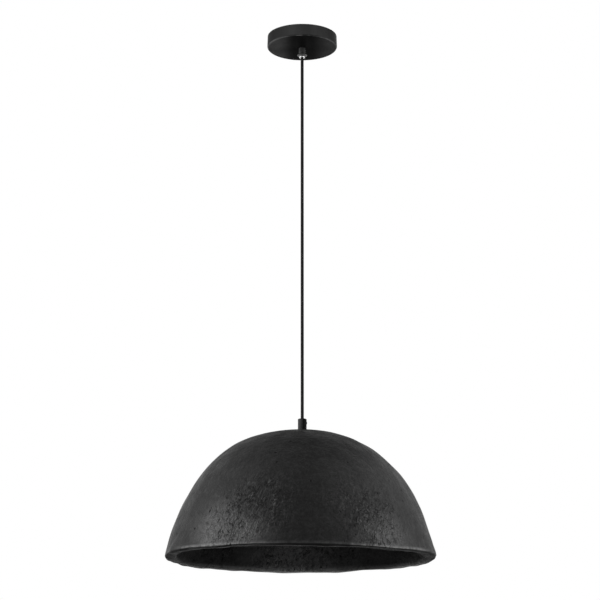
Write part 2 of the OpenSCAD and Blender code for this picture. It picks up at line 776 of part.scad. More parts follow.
ceiling_bracket();
canopy();
canopy_screws();
canopy_gland();
gland_bush();
gland_washer();
gland_locknut();
gland_screw();
terminal_block();
terminal_tubes();
terminal_screws();
earth_screw();
cord_in_canopy();
live_core();
neutral_core();
cord_top_bend();
cord_upper();
cord_lower();
cord_bottom_bend();
shade_gland();
shade_gland_screw();
threaded_nipple();
backing_washer();
nipple_nut();
shade();
cord_in_shade();
lampholder_cap();
cap_lock_screw();
lampholder_body();
lampholder_insert();
holder_terminals();
holder_terminal_screws();
live_strip();
screw_shell();
centre_contact();
contact_spring();
holder_live_core();
holder_neutral_core();
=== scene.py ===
# %% [markdown]
# # A pendant ceiling light with a thick pulp dome
# A round steel canopy screws to the ceiling, a thin round cord comes out of it through a small
# black gland, and at the other end a second gland carries a heavy hand-pressed dome of black paper
# pulp with a lampholder inside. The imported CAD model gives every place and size, in metres, with
# the ceiling at z = 0 and the cord on the Z axis. This script dresses that model: it works out
# smooth surfaces for the pieces that show, and gives every piece its finish.

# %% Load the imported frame
import json
import math
import bpy
import numpy as np
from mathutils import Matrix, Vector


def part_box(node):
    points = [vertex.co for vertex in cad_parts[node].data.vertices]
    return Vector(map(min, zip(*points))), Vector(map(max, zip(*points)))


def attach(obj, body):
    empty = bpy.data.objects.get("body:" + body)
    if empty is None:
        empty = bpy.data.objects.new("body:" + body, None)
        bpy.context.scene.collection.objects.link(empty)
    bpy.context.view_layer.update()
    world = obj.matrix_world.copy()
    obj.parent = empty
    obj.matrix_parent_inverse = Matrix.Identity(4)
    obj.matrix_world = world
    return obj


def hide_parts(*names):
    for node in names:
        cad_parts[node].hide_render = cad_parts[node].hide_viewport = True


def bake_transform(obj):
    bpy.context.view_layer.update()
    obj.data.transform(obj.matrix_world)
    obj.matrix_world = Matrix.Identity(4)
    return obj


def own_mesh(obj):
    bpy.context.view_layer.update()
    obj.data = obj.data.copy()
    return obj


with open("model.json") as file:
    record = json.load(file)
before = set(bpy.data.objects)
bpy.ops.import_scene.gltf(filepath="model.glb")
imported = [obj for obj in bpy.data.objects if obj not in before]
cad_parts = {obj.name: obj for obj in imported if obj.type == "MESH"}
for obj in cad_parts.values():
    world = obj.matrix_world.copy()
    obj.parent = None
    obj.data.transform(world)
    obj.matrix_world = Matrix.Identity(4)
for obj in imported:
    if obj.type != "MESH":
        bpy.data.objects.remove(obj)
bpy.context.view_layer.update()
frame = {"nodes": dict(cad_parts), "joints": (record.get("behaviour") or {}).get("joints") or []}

# %% [markdown]
# The camera stands well below the light and looks up at it, so that the underside of the canopy
# and the open mouth of the dome both show. A long lens keeps the cord and the dome's sides from
# leaning.

# %% Camera
eye = (-0.0034, -2.870, -1.1358)
look_up = math.radians(13.85)
camera = bpy.data.objects.new("camera", bpy.data.cameras.new("camera"))
camera.data.lens = 116.18
camera.data.sensor_width = 36.0
camera.data.clip_end = 60.0
camera.location = eye
camera.rotation_euler = (math.radians(90) + look_up, 0.0, 0.0)
bpy.context.scene.collection.objects.link(camera)
bpy.context.scene.camera = camera
print("camera at", eye, "looking up", round(math.degrees(look_up), 2), "degrees")

# %% [markdown]
# ## Surfaces from grids of points
# Nearly every piece here is turned or moulded, so its surface is a grid: one direction runs along
# an outline, the other runs round the axis. numpy works out all the points at once, and the grid's
# neighbours give the faces. The sign of the enclosed volume tells whether the faces point
# outwards, so a grid that was laid the wrong way round is simply turned over.

# %% From a grid of points to a mesh object
crisp = 38  # degrees of turn beyond which an edge stays sharp


def enclosed(points, quads):
    """The volume inside closed quads: each triangle with the origin spans a signed tetrahedron of
    a . (b x c) / 6, and the parts outside the solid cancel."""
    a, b, c, d = (points[quads[:, k]] for k in range(4))
    spans = np.einsum("ij,ij->i", a, np.cross(b, c)) + np.einsum("ij,ij->i", a, np.cross(c, d))
    return spans.sum() / 6


def skin(name, grid, rows_close=True, sharp=crisp):
    """A grid of points, rows x columns x 3, becomes an object. The columns always close on
    themselves. The rows do too where the outline is a loop, and elsewhere one face closes each end.
    Edges that turn by more than `sharp` degrees stay crisp."""
    rows, columns = grid.shape[:2]
    index = np.arange(rows * columns).reshape(rows, columns)
    right, up = np.roll(index, -1, axis=1), np.roll(index, -1, axis=0)
    quads = np.stack([index, right, np.roll(right, -1, axis=0), up], axis=-1)
    quads = (quads if rows_close else quads[:-1]).reshape(-1, 4)
    points = grid.reshape(-1, 3)
    faces = quads.tolist()
    if not rows_close:
        faces += [index[0, ::-1].tolist(), index[-1].tolist()]
    if enclosed(points - points.mean(0), quads) < 0:
        faces = [face[::-1] for face in faces]
    mesh = bpy.data.meshes.new(name)
    mesh.from_pydata(points.tolist(), [], faces)
    mesh.shade_smooth()
    mesh.set_sharp_from_angle(angle=math.radians(sharp))
    piece = bpy.data.objects.new(name, mesh)
    bpy.context.scene.collection.objects.link(piece)
    return piece


# %% [markdown]
# No turned or pressed piece has a truly sharp corner, and it is the rounded edge that catches the
# light. So an outline is given as its few corners with a radius at each, and the helper puts an
# arc in the place of every corner. A Bevel modifier could do it afterwards, but an outline that is
# rounded before it is turned keeps clean rings of faces.

# %% Rounded outlines
def rounded(corners, steps=6):
    """A closed outline of corners (r, z, radius) with an arc at each. Where the outline turns by an
    angle t, the arc leaves the straight radius * tan(t / 2) before the corner. Its points are the
    start plus radius * (sin a along the way in, 1 - cos a across it)."""
    corners = np.array(corners, float)
    at, radius = corners[:, :2], corners[:, 2]
    way_in, way_out = at - np.roll(at, 1, axis=0), np.roll(at, -1, axis=0) - at
    way_in /= np.linalg.norm(way_in, axis=1)[:, None]
    way_out /= np.linalg.norm(way_out, axis=1)[:, None]
    turn = np.arctan2(way_in[:, 0] * way_out[:, 1] - way_in[:, 1] * way_out[:, 0],
                      (way_in * way_out).sum(1))
    across = np.stack([-way_in[:, 1], way_in[:, 0]], 1) * np.sign(turn)[:, None]
    start = at - way_in * (radius * np.tan(abs(turn) / 2))[:, None]
    a = abs(turn)[:, None] * np.linspace(0, 1, steps + 1)
    arcs = start[:, None] + radius[:, None, None] * (
        np.sin(a)[..., None] * way_in[:, None] + (1 - np.cos(a))[..., None] * across[:, None])
    line = arcs.reshape(-1, 2)
    apart = np.linalg.norm(line - np.roll(line, 1, axis=0), axis=1) > 1e-7
    return line[apart]


square = rounded([(0, 0, 2), (10, 0, 2), (10, 10, 2), (0, 10, 2)])
print("a square with rounded corners becomes", len(square), "points")

# %% [markdown]
# A lathe turns one outline about one axis. With numpy that is one step for all points: every point
# of the outline is taken round the Z axis at the same angles. The outlines' sizes come from the
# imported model, so small helpers read how low, how high and how far out a CAD node reaches.

# %% Turned pieces
def turned(name, outline, around=96, sharp=crisp):
    """Each point (r, z) of a closed outline runs once round the Z axis, as x = r cos a and
    y = r sin a."""
    outline = np.asarray(outline, float)
    angle = np.arange(around) * 2 * np.pi / around
    r, z = outline[:, :1], outline[:, 1:]
    z = np.broadcast_to(z, (len(outline), around))
    return skin(name, np.stack([r * np.cos(angle), r * np.sin(angle), z], -1), sharp=sharp)


mm = 0.001


def level(node, top=False):
    """The lowest or highest level of a CAD node."""
    return float(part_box(node)[1 if top else 0][2])


def middle_level(node):
    """The level half way up a CAD node."""
    return float(np.mean([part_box(node)[0][2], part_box(node)[1][2]]))


def reach(node):
    """How far a CAD node reaches from the Z axis, along X."""
    return float(max(abs(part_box(node)[0][0]), abs(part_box(node)[1][0])))


print("canopy", round(2 * reach("canopy") / mm, 1), "mm across,",
      "dome", round(2 * reach("shade") / mm, 1), "mm")

# %% [markdown]
# A few pieces have a round hole through their side for a screw. A hole square to a turned wall
# does not follow the wall's grid, so it is cut as a drill cuts it: a rod stands where the drill
# goes, an exact Boolean takes its space out of the wall, and the rod is thrown away.

# %% Drilling
def peg(name, radius, x0, x1, z, sides=32):
    """A closed rod along X from x0 to x1 at level z, used only to cut a round hole."""
    angle = np.arange(sides) * 2 * np.pi / sides
    y, z = radius * np.cos(angle), z + radius * np.sin(angle)
    ends = [np.stack([np.full(sides, x), y, z], -1) for x in (x0, x1)]
    return skin(name, np.stack(ends), rows_close=False)


def drilled(piece, *pegs):
    """The piece with each peg cut out of it by an exact Boolean, applied to its mesh."""
    for tool in pegs:
        cut = piece.modifiers.new("hole", "BOOLEAN")
        cut.operation, cut.solver, cut.object = "DIFFERENCE", "EXACT", tool
    bpy.context.view_layer.update()
    worked_out = piece.evaluated_get(bpy.context.evaluated_depsgraph_get())
    mesh = bpy.data.meshes.new_from_object(worked_out)
    piece.modifiers.clear()
    piece.data = mesh
    mesh.shade_smooth()
    mesh.set_sharp_from_angle(angle=math.radians(crisp))
    for tool in pegs:
        bpy.data.objects.remove(tool)
    return piece


# %% [markdown]
# Every finished piece needs the same words said about it: what it is made of, which body it moves
# with and which CAD nodes it stands for. One helper says them all, so that none is forgotten.

# %% Dressing a piece
def dress(piece, material, body, slot, *nodes):
    """A finished piece: its material, the body that it moves with, the record's material slot,
    which is not used, and the CAD nodes that it stands for."""
    piece.data.materials.clear()
    piece.data.materials.append(material)
    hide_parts(*nodes)
    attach(piece, body)
    print(piece.name, "has", len(piece.data.polygons), "faces and rides on", body)
    return piece


# %% [markdown]
# ## Finishes
# A material is a small tree of nodes. These helpers keep the trees short: one adds a node and
# wires its inputs, one takes a value from one range to another, one mixes two colours, and the
# rest add a noise, a bump or stretched coordinates. All patterns read Object coordinates in
# metres, so a scale of 500 makes features of about two millimetres.

# %% Node helpers
def add(tree, kind, wires=(), **settings):
    """A node of that kind. Sockets in `wires` are linked, and plain values are set."""
    made = tree.nodes.new("ShaderNode" + kind)
    for key, value in settings.items():
        setattr(made, key, value)
    for key, value in dict(wires).items():
        if isinstance(value, bpy.types.NodeSocket):
            tree.links.new(value, made.inputs[key])
        else:
            made.inputs[key].default_value = value
    return made


def remap(tree, value, from_range, to_range):
    """value taken smoothly from one range to another, and held at the ends."""
    wires = {"Value": value, "From Min": from_range[0], "From Max": from_range[1],
             "To Min": to_range[0], "To Max": to_range[1]}
    return add(tree, "MapRange", wires, interpolation_type="SMOOTHSTEP").outputs["Result"]


def tint(tree, factor, first, second, how="MIX"):
    """Two colours mixed by a factor, where 0 is the first and 1 the second."""
    made = tree.nodes.new("ShaderNodeMix")
    made.data_type, made.blend_type = "RGBA", how
    for key, value in ((0, factor), (6, first), (7, second)):
        if isinstance(value, bpy.types.NodeSocket):
            tree.links.new(value, made.inputs[key])
        else:
            made.inputs[key].default_value = value
    return made.outputs[2]


def grey(level, warm=0.0):
    """A near-neutral colour, a little warmer or cooler than grey."""
    return (level * (1 + warm), level, level * (1 - warm), 1.0)


def finish(name, **constants):
    """A new material and its tree, shader and Object coordinates, with constants on the shader."""
    material = bpy.data.materials.new(name)
    material.use_nodes = True
    tree = material.node_tree
    shader = tree.nodes["Principled BSDF"]
    for key, value in constants.items():
        shader.inputs[key.replace("_", " ")].default_value = value
    return material, tree, shader, add(tree, "TexCoord").outputs["Object"]


def noise(tree, where, scale, detail=3.0, rough=0.5, warp=0.0):
    """Cloudy values near one half, with `scale` features to the metre."""
    return add(tree, "TexNoise", {"Vector": where, "Scale": scale, "Detail": detail,
                                  "Roughness": rough, "Distortion": warp}).outputs["Fac"]


def bump(tree, height, distance, strength=1.0, normal=None):
    """A shading normal tilted as if the height stood out by that distance in metres."""
    wires = {"Height": height, "Distance": distance, "Strength": strength}
    if normal is not None:
        wires["Normal"] = normal
    return add(tree, "Bump", wires).outputs["Normal"]


def stretched(tree, where, x, y, z, aside=0.0, lean=0.0):
    """Coordinates scaled by axis, so that a pattern runs long in one direction. The long way can
    lean by some degrees about Y, and a step aside keeps two patterns from falling together."""
    wires = {"Vector": where, "Scale": (1 / x, 1 / y, 1 / z),
             "Rotation": (0.0, math.radians(lean), 0.0), "Location": (aside, aside, aside)}
    return add(tree, "Mapping", wires, vector_type="TEXTURE").outputs["Vector"]


# %% [markdown]
# ### The pulp
# The dome is paper pulp pressed by hand over a form, dried and stained black. Up close it is never
# one black: the stain lies in soft clouds, fibres catch the light as short scratches, the surface
# has pin holes and small cracks where it dried, and it is a little polished where hands have
# rubbed it. Noise textures of very different sizes give each of these, and the same values drive
# both the colour and the bump, so that a dark pit is also a real dent.
#
# Not every place is alike, so the dome carries soft masks at its points, which the finish reads by
# name: where it is rubbed and carries a painted sheen, where the wet pulp was crumpled, the painted
# highlight on its lip edge, and the painted shade on its underside, its dull crown and its inside.
# They are made with the dome, further down.

# %% Masks and hairlines
def held(tree, name):
    """A soft mask that the piece carries at its points, read by name."""
    return add(tree, "Attribute", attribute_name=name).outputs["Fac"]


def both(tree, first, second, how="MULTIPLY"):
    """Two values joined by one sum, product or choice."""
    return add(tree, "Math", {0: first, 1: second}, operation=how).outputs[0]


def hairlines(tree, where, x, y, z, width, aside, lean=0.0):
    """Thin wandering lines: a noise crosses its middle value along them, so the lines lie where
    its distance from one half is smaller than the width."""
    cloud = noise(tree, stretched(tree, where, x, y, z, aside, lean), 1.0, 3.0, 0.55, 0.5)
    off = both(tree, both(tree, cloud, 0.5, "SUBTRACT"), 0.0, "ABSOLUTE")
    return remap(tree, off, (0.0, width), (1.0, 0.0))


# %% [markdown]
# The stain is built up as a maker would build it: a cloudy black ground, then one layer after
# another over it, each with its own place and its own shade of grey. Some layers are painted light
# rather than stain: a painted sheen, a painted highlight and painted shade. The noises that lay the
# stain also raise and lower the surface, from long waves down to single fibres.

# %% Pulp finish
def pulp_finish():
    """Black stained pulp: colour, sheen and relief all follow the same noises and masks. Each layer
    of stain or painted light covers the one before by its own share, from 0 to 1, at each place."""
    material, tree, shader, where = finish("stained pulp")
    rubbed, crumpled, inside, under, lip_edge, dull = (
        held(tree, name) for name in ("rubbed", "crumpled", "inside", "under", "lip_edge", "dull"))
    # Rubbed places with their painted sheen, or crumpled ones.
    handled_and_lit = both(tree, rubbed, crumpled, "MAXIMUM")
    busy = remap(tree, handled_and_lit, (0.0, 0.7), (0.40, 1.0))
    clouds = noise(tree, where, 10.0, 3.0, 0.5, 0.3)
    mottle = noise(tree, where, 48.0, 5.0, 0.6, 0.4)
    worn = noise(tree, where, 150.0, 4.0, 0.6, 0.3)
    grain = noise(tree, where, 430.0, 4.0, 0.7)
    lean = 22.0  # degrees by which folds and cracks lean about Y
    folds = noise(tree, stretched(tree, where, 150.0, 150.0, 62.0, 0.0, lean), 1.0, 4.0, 0.62, 0.9)
    cracks = hairlines(tree, where, 150.0, 150.0, 62.0, 0.034, 3.1, lean)
    patches = remap(tree, noise(tree, where, 85.0, 3.0), (0.46, 0.56), (0.0, 1.0))
    cracks = both(tree, cracks, patches)
    cracks = both(tree, cracks, remap(tree, crumpled, (0.05, 0.7), (0.08, 1.0)))
    bare = hairlines(tree, where, 150.0, 150.0, 48.0, 0.035, 8.7, lean)
    bare = both(tree, bare, remap(tree, noise(tree, where, 90.0, 2.0), (0.50, 0.60), (0.0, 1.0)))
    bare = both(tree, bare, remap(tree, handled_and_lit, (0.1, 0.9), (0.05, 1.0)))
    cells = add(tree, "TexVoronoi", {"Vector": where, "Scale": 62.0, "Randomness": 1.0})
    draw = add(tree, "SeparateColor", {0: cells.outputs["Color"]}).outputs[0]
    chosen = remap(tree, draw, (0.55, 0.60), (0.0, 1.0))
    pits = both(tree, remap(tree, cells.outputs["Distance"], (0.07, 0.14), (1.0, 0.0)), chosen)
    dents = both(tree, pits, cracks, "MAXIMUM")

    streak = remap(tree, noise(tree, where, 120.0, 4.0), (0.36, 0.55), (0.45, 1.0))

    def flecks(source, from_range, to_range):
        """Where a fine noise lies in a range, and more of it where the pulp was handled."""
        return both(tree, busy, remap(tree, source, from_range, to_range))

    stain = tint(tree, remap(tree, clouds, (0.3, 0.7), (0.0, 1.0)), grey(0.0155), grey(0.0220))
    layers = (
        (remap(tree, mottle, (0.35, 0.68), (0.0, 0.6)), 0.026),   # palm-sized mottle
        (both(tree, rubbed, 0.8), 0.095),                         # painted sheen on the rubbed places
        (flecks(worn, (0.36, 0.52), (0.50, 0.0)), 0.004),         # coarse specks, dark and pale
        (flecks(worn, (0.52, 0.68), (0.0, 0.45)), 0.060),
        (flecks(grain, (0.40, 0.54), (0.50, 0.0)), 0.004),        # fibres, dark and pale
        (flecks(grain, (0.52, 0.72), (0.0, 0.5)), 0.065),
        (both(tree, bare, 0.6), 0.19),                            # bare scratches
        (both(tree, lip_edge, streak), 0.22),                     # painted highlight on the lip's edge
        (both(tree, dents, 0.95), 0.002),                         # pits and cracks
        (both(tree, under, 0.85), 0.012),                         # painted shade under the lip
        (both(tree, dull, 0.8), 0.005),                           # painted shade on the crown
        (both(tree, inside, 0.70), 0.005))                        # painted shade inside
    for share, shade in layers:
        stain = tint(tree, share, stain, grey(shade))
    tree.links.new(stain, shader.inputs["Base Color"])
    polish = tint(tree, rubbed, grey(0.047), grey(0.19))
    polish = tint(tree, both(tree, under, dull, "MAXIMUM"), polish, grey(0.004))
    tree.links.new(tint(tree, inside, polish, grey(0.015)), shader.inputs["Specular IOR Level"])
    smoothed = both(tree, mottle, both(tree, rubbed, 0.3), "ADD")
    tree.links.new(remap(tree, smoothed, (0.3, 0.85), (0.50, 0.34)), shader.inputs["Roughness"])
    normal = bump(tree, mottle, 0.0010)
    folds = both(tree, folds, remap(tree, crumpled, (0.0, 0.9), (0.12, 1.0)))
    normal = bump(tree, folds, 0.0052, 1.0, normal)
    normal = bump(tree, worn, 0.0007, 1.0, normal)
    normal = bump(tree, grain, 0.0003, 1.0, normal)
    relief = both(tree, both(tree, 1.0, dents, "SUBTRACT"), both(tree, bare, 0.4), "ADD")
    tree.links.new(bump(tree, relief, 0.0022, 1.0, normal), shader.inputs["Normal"])
    return material


pulp = pulp_finish()
print(pulp.name, "has", len(pulp.node_tree.nodes), "nodes")

# %% [markdown]
# ### Metals, plastics and paint
# The rest are factory finishes. What makes them look made rather than ideal is small: a powder
# coat has a fine orange peel, turned metal has rings round its axis, rolled sheet has lines one
# way, and a moulded plastic has a slight uneven sheen. Each gets its own bump and its own spread
# of roughness.

# %% Coated, moulded and metal finishes
peel_scale = 1400.0  # how fine the orange peel of paint and mouldings is, in cells to the metre


def coat(name, shade, rough, peel, specular=0.5, painted_light_west=None):
    """Paint or moulded plastic: one colour with a faint cloud in it, a sheen that follows the
    cloud, and a fine peel in the surface. Where a west colour is given, the colour fades to it over
    the 4 mm round the middle, as painted light on the west side."""
    material, tree, shader, where = finish(name, Specular_IOR_Level=specular)
    cloud = noise(tree, where, 60.0, 3.0)
    skin_noise = noise(tree, where, peel_scale, 2.0)
    darker = tuple(v * 0.82 for v in shade[:3]) + (1.0,)
    colour = tint(tree, remap(tree, cloud, (0.3, 0.7), (0.0, 1.0)), darker, shade)
    if painted_light_west:
        across = add(tree, "SeparateXYZ", {0: where}).outputs["X"]
        colour = tint(tree, remap(tree, across, (-0.0020, 0.0024), (1.0, 0.0)), colour, painted_light_west)
    tree.links.new(colour, shader.inputs["Base Color"])
    tree.links.new(remap(tree, cloud, (0.3, 0.7), (rough * 0.9, rough * 1.12)),
                   shader.inputs["Roughness"])
    tree.links.new(bump(tree, skin_noise, peel, 0.5), shader.inputs["Normal"])
    return material


def metal(name, colour, rough, along=(1.0, 1.0, 1.0), depth=0.00002):
    """Bare metal: long thin noise for the marks of rolling or turning, in both sheen and bump, and
    a cloudy one for where it has dulled by about a fifth."""
    material, tree, shader, where = finish(name, Metallic=1.0)
    marks = noise(tree, stretched(tree, where, *along), 900.0, 3.0, 0.6)
    dull = noise(tree, where, 80.0, 3.0)
    worn = tuple(v * 0.78 for v in colour) + (1.0,)
    tree.links.new(tint(tree, remap(tree, dull, (0.35, 0.7), (0.0, 1.0)), colour + (1.0,), worn),
                   shader.inputs["Base Color"])
    tree.links.new(remap(tree, marks, (0.3, 0.7), (rough * 0.85, rough * 1.25)),
                   shader.inputs["Roughness"])
    tree.links.new(bump(tree, marks, depth, 0.5), shader.inputs["Normal"])
    return material


# %% [markdown]
# The canopy's powder coat carries painted light: painted shade on the underside, a painted
# reflection towards both sides, a painted highlight on the rounded edge and painted shade on the
# sides of the wall. The underside, the edge and the wall are told apart by height, and the sides by
# how far a point lies along X, so ramps of the Object coordinates choose the shade.
# Painting masks on the mesh as on the dome would also work, but this needs nothing from the mesh.

# %% Canopy coat
def canopy_finish(low):
    """Satin black powder coat with painted light. The flat underside is darkest, as painted shade,
    and pales softly to both sides as a painted reflection. The rounded edge just above it carries a
    painted highlight along a thin broken line, and the wall is painted palest in front."""
    material, tree, shader, where = finish("satin black powder coat")
    parts = add(tree, "SeparateXYZ", {0: where}).outputs
    across, height = parts["X"], parts["Z"]
    to_side = both(tree, across, 0.0, "ABSOLUTE")
    wall = remap(tree, height, (low + 0.0009, low + 0.0028), (0.0, 1.0))
    # A thin, broken painted highlight along the rounded edge.
    edge = both(tree, remap(tree, height, (low + 0.0001, low + 0.0007), (0.0, 1.0)),
                remap(tree, height, (low + 0.0009, low + 0.0016), (1.0, 0.0)))
    broken = remap(tree, noise(tree, where, 55.0, 4.0, 0.6), (0.38, 0.60), (0.15, 1.0))
    edge = both(tree, edge, broken)
    edge = both(tree, edge, remap(tree, to_side, (0.028, 0.052), (1.0, 0.25)))
    # The underside pales to west and east as a painted reflection; the wall is painted darker at
    # its sides.
    painted_reflection_west = remap(tree, across, (-0.038, -0.012), (1.0, 0.0))
    painted_reflection_east = remap(tree, across, (0.014, 0.048), (0.0, 0.8))
    painted_side_shade = remap(tree, to_side, (0.010, 0.050), (0.0, 1.0))
    shade = tint(tree, both(tree, painted_reflection_west, painted_reflection_east, "MAXIMUM"), grey(0.007), grey(0.082))
    shade = tint(tree, wall, shade, tint(tree, painted_side_shade, grey(0.062), grey(0.016)))
    shade = tint(tree, edge, shade, grey(0.14))
    cloud = noise(tree, stretched(tree, where, 40.0, 40.0, 12.0), 1.0, 3.0)
    shade = tint(tree, remap(tree, cloud, (0.35, 0.65), (0.0, 0.25)), shade, grey(0.012))
    tree.links.new(shade, shader.inputs["Base Color"])
    tree.links.new(remap(tree, wall, (0.0, 1.0), (0.002, 0.012)),
                   shader.inputs["Specular IOR Level"])
    tree.links.new(remap(tree, cloud, (0.3, 0.7), (0.38, 0.46)), shader.inputs["Roughness"])
    peel = bump(tree, noise(tree, where, peel_scale, 2.0), 0.00006, 0.5)
    tree.links.new(peel, shader.inputs["Normal"])
    return material


canopy_coat = canopy_finish(level("canopy"))
print(canopy_coat.name, "has", len(canopy_coat.node_tree.nodes), "nodes")

# %% [markdown]
# The remaining finishes differ only in colour, roughness, sheen and grain, so they are one list.
# Two numbers matter most for black plastic: a low sheen, or it looks wet, and a colour that is
# never quite zero, because no real moulding is.

# %% Factory finishes
gland_plastic = coat("black gland moulding", grey(0.060), 0.26, 0.00003, 0.36)
# The lower gland's west side is painted paler, as painted light.
deep_plastic = coat("deep black gland moulding", grey(0.006), 0.34, 0.00003, 0.012, grey(0.054))
holder_plastic = coat("black holder moulding", grey(0.018), 0.36, 0.00004)
white_plastic = coat("white block moulding", grey(0.78, 0.02), 0.45, 0.00003)
porcelain = coat("glazed porcelain", grey(0.80, 0.02), 0.16, 0.00002)
brown_core = coat("brown wire insulation", (0.16, 0.07, 0.035, 1.0), 0.42, 0.00003)
blue_core = coat("blue wire insulation", (0.035, 0.10, 0.33, 1.0), 0.42, 0.00003)
zinc = metal("bright zinc plate", (0.66, 0.67, 0.69), 0.30, (1.0, 0.12, 0.12))
bush_metal = metal("satin nickel ring", (0.62, 0.62, 0.62), 0.36, (0.15, 0.15, 1.0))
brass = metal("plain brass", (0.74, 0.55, 0.24), 0.28, (0.2, 1.0, 1.0))
shell_sheet = metal("rolled aluminium sheet", (0.80, 0.80, 0.79), 0.24, (0.2, 0.2, 1.0))
black_oxide = metal("black oxide steel", (0.06, 0.06, 0.065), 0.38)
spring_wire = metal("bright spring wire", (0.62, 0.62, 0.63), 0.22)
print(len(bpy.data.materials), "materials in the file")

# %% [markdown]
# ## The cord
# A round two-core cord in a smooth black sheath hangs straight under the shade's weight, from the
# ring of the upper gland to the mouth of the lower one. Its line is simply the Z axis between the
# two joints, but the surface is a true tube with a rounded end at each pivot, so that it can swing
# in its gland without a gap opening.

# %% Cord
pivots = {joint["name"]: joint["pos_m"] for joint in frame["joints"] if "pos_m" in joint}
top_pivot, bottom_pivot = pivots["swing_x"][2], pivots["shade_tilt_x"][2]
cord_r = reach("cord_upper")


def cord_tube(name, sides=24, rings=260):
    """A circle carried down the Z axis. At each end the circle shrinks as a hemisphere does:
    a point at angle a from the pole has radius r sin a and stands r cos a beyond the pivot."""
    cap = np.linspace(0.02, np.pi / 2, 8)[:-1]
    beyond, shrunk = cord_r * np.cos(cap), cord_r * np.sin(cap)
    middle = np.linspace(top_pivot, bottom_pivot, rings)
    z = np.concatenate([top_pivot + beyond, middle, (bottom_pivot - beyond)[::-1]])[:, None]
    r = np.concatenate([shrunk, np.full(rings, cord_r), shrunk[::-1]])[:, None]
    angle = np.arange(sides) * 2 * np.pi / sides
    x, y = r * np.cos(angle), r * np.sin(angle)
    tube = np.stack([x, y, np.broadcast_to(z, x.shape)], -1)
    return skin(name, tube, rows_close=False), np.concatenate([0 * z, 0 * z, z], 1)


cord, cord_line = cord_tube("cord_sheath")
print("cord", round(float(np.linalg.norm(np.diff(cord_line, axis=0), axis=1).sum()), 4), "m long")

# %% [markdown]
# The sheath is soft black plastic drawn out of a nozzle, so it carries faint lines along its
# length and holds dust. One noise squeezed into long thin lines and one cloudy noise give both. A
# braid would need a pattern that follows the cord, but a smooth sheath reads the same coordinates
# as the rest.

# %% Cord finish
def sheath_finish():
    """Soft black sheath: faint lines along its length, and dust that spreads its sheen."""
    material, tree, shader, where = finish("black cord sheath", Specular_IOR_Level=0.04)
    lines = noise(tree, stretched(tree, where, 2600.0, 2600.0, 6.0), 1.0, 2.0)
    dust = noise(tree, where, 220.0, 3.0)
    tree.links.new(tint(tree, remap(tree, dust, (0.35, 0.7), (0.0, 1.0)), grey(0.010), grey(0.018)),
                   shader.inputs["Base Color"])
    tree.links.new(remap(tree, dust, (0.3, 0.7), (0.42, 0.58)), shader.inputs["Roughness"])
    tree.links.new(bump(tree, lines, 0.00001, 0.4), shader.inputs["Normal"])
    return material


sheath = sheath_finish()
cord.data.materials.append(sheath)
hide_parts("cord_top_bend", "cord_upper", "cord_lower", "cord_bottom_bend")
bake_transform(cord)
print("cord is", round(2 * cord_r / mm, 2), "mm thick and blends between two bodies")

# %% [markdown]
# ## The dome
# The shade is one thick shell: a flat spot at the crown under the gland, three bends that run into
# one another down the side, a broad rounded lip, and the same three bends back up the inside. A
# lathe would make it perfectly round, and that is what hand-pressed pulp is not. So the outline is
# turned first, and then every point moves a little along its own normal by a ripple that closes
# round the axis: long waves for the unevenness of the form, shorter ones for the marks of the
# hand.

# %% Outline of the dome
shade_low, shade_high = (np.array(corner, float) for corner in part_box("shade"))
rim, crown = shade_low[2], shade_high[2]
shade_r = round(float(shade_high[0]), 3)
lip_w, lip_out, lip_in = 17 * mm, 3 * mm, 4.5 * mm
crown_wall = 10 * mm
rim_slope = 73.4
crown_arc = (0.272, 0.0, 9.5)
shoulder_arc = (0.149, 9.5, 65.5)
flank_arc = (0.292, 65.5, rim_slope)


def arc(centre, radius, first, last, steps):
    """Points centre + radius * (cos a, sin a), for a from first to last in degrees."""
    a = np.radians(np.linspace(first, last, steps))
    return np.array(centre) + radius * np.stack([np.cos(a), np.sin(a)], 1)


def dome_bends(end_r, drop):
    """Out and down from the crown: along an arc of radius R whose slope grows from s to t, a point
    moves R (sin t - sin s) outwards and R (cos s - cos t) down. The whole is stretched to end_r and
    drop. Each arc is given as its radius and its two slopes in degrees."""
    out, start = [np.zeros((1, 2))], np.zeros(2)
    for radius, slope_in, slope_out in (crown_arc, shoulder_arc, flank_arc):
        t = np.radians(np.linspace(slope_in, slope_out, 80))[1:]
        s = math.radians(slope_in)
        out.append(start + radius * np.stack([np.sin(t) - math.sin(s), math.cos(s) - np.cos(t)], 1))
        start = out[-1][-1]
    line = np.concatenate(out)
    return line * [end_r / start[0], drop / start[1]]


def evenly(line, count):
    """The same line with points at equal steps of its length."""
    run = np.concatenate([[0], np.cumsum(np.linalg.norm(np.diff(line, axis=0), axis=1))])
    at = np.linspace(0, run[-1], count)
    return np.stack([np.interp(at, run, line[:, k]) for k in (0, 1)], 1)


lean = 90 - rim_slope
tilt = math.radians(lean)
outer = dome_bends(shade_r - lip_out * (1 - math.cos(tilt)),
                   crown - rim - lip_out * (1 + math.sin(tilt)))
inner = dome_bends(shade_r - lip_w + lip_in * (1 - math.cos(tilt)),
                   crown - crown_wall - rim - lip_in * (1 - math.sin(tilt)))
outer = np.stack([outer[:, 0], crown - outer[:, 1]], 1)
inner = np.stack([inner[:, 0], crown - crown_wall - inner[:, 1]], 1)
hole_r, outer_pad_r, inner_pad_r = 5.2 * mm, 7.8 * mm, 26 * mm
inner_pad = level("backing_washer", top=True)
lip_points = np.concatenate([
    arc((shade_r - lip_out, rim + lip_out), lip_out, lean, -90, 12),
    arc((shade_r - lip_w + lip_in, rim + lip_in), lip_in, -90, lean - 180, 12)])
print("lip", round(lip_w * 1000), "mm wide, side leans", round(lean, 1), "degrees from upright")

# %% [markdown]
# Pressed pulp is uneven at every scale. A noise laid round the shell would leave a seam where the
# turn closes, so the ripple is a sum of cosine waves, each with a whole number of waves to the
# turn. Their directions and phases come from a seeded generator, so every run gives the same dome.

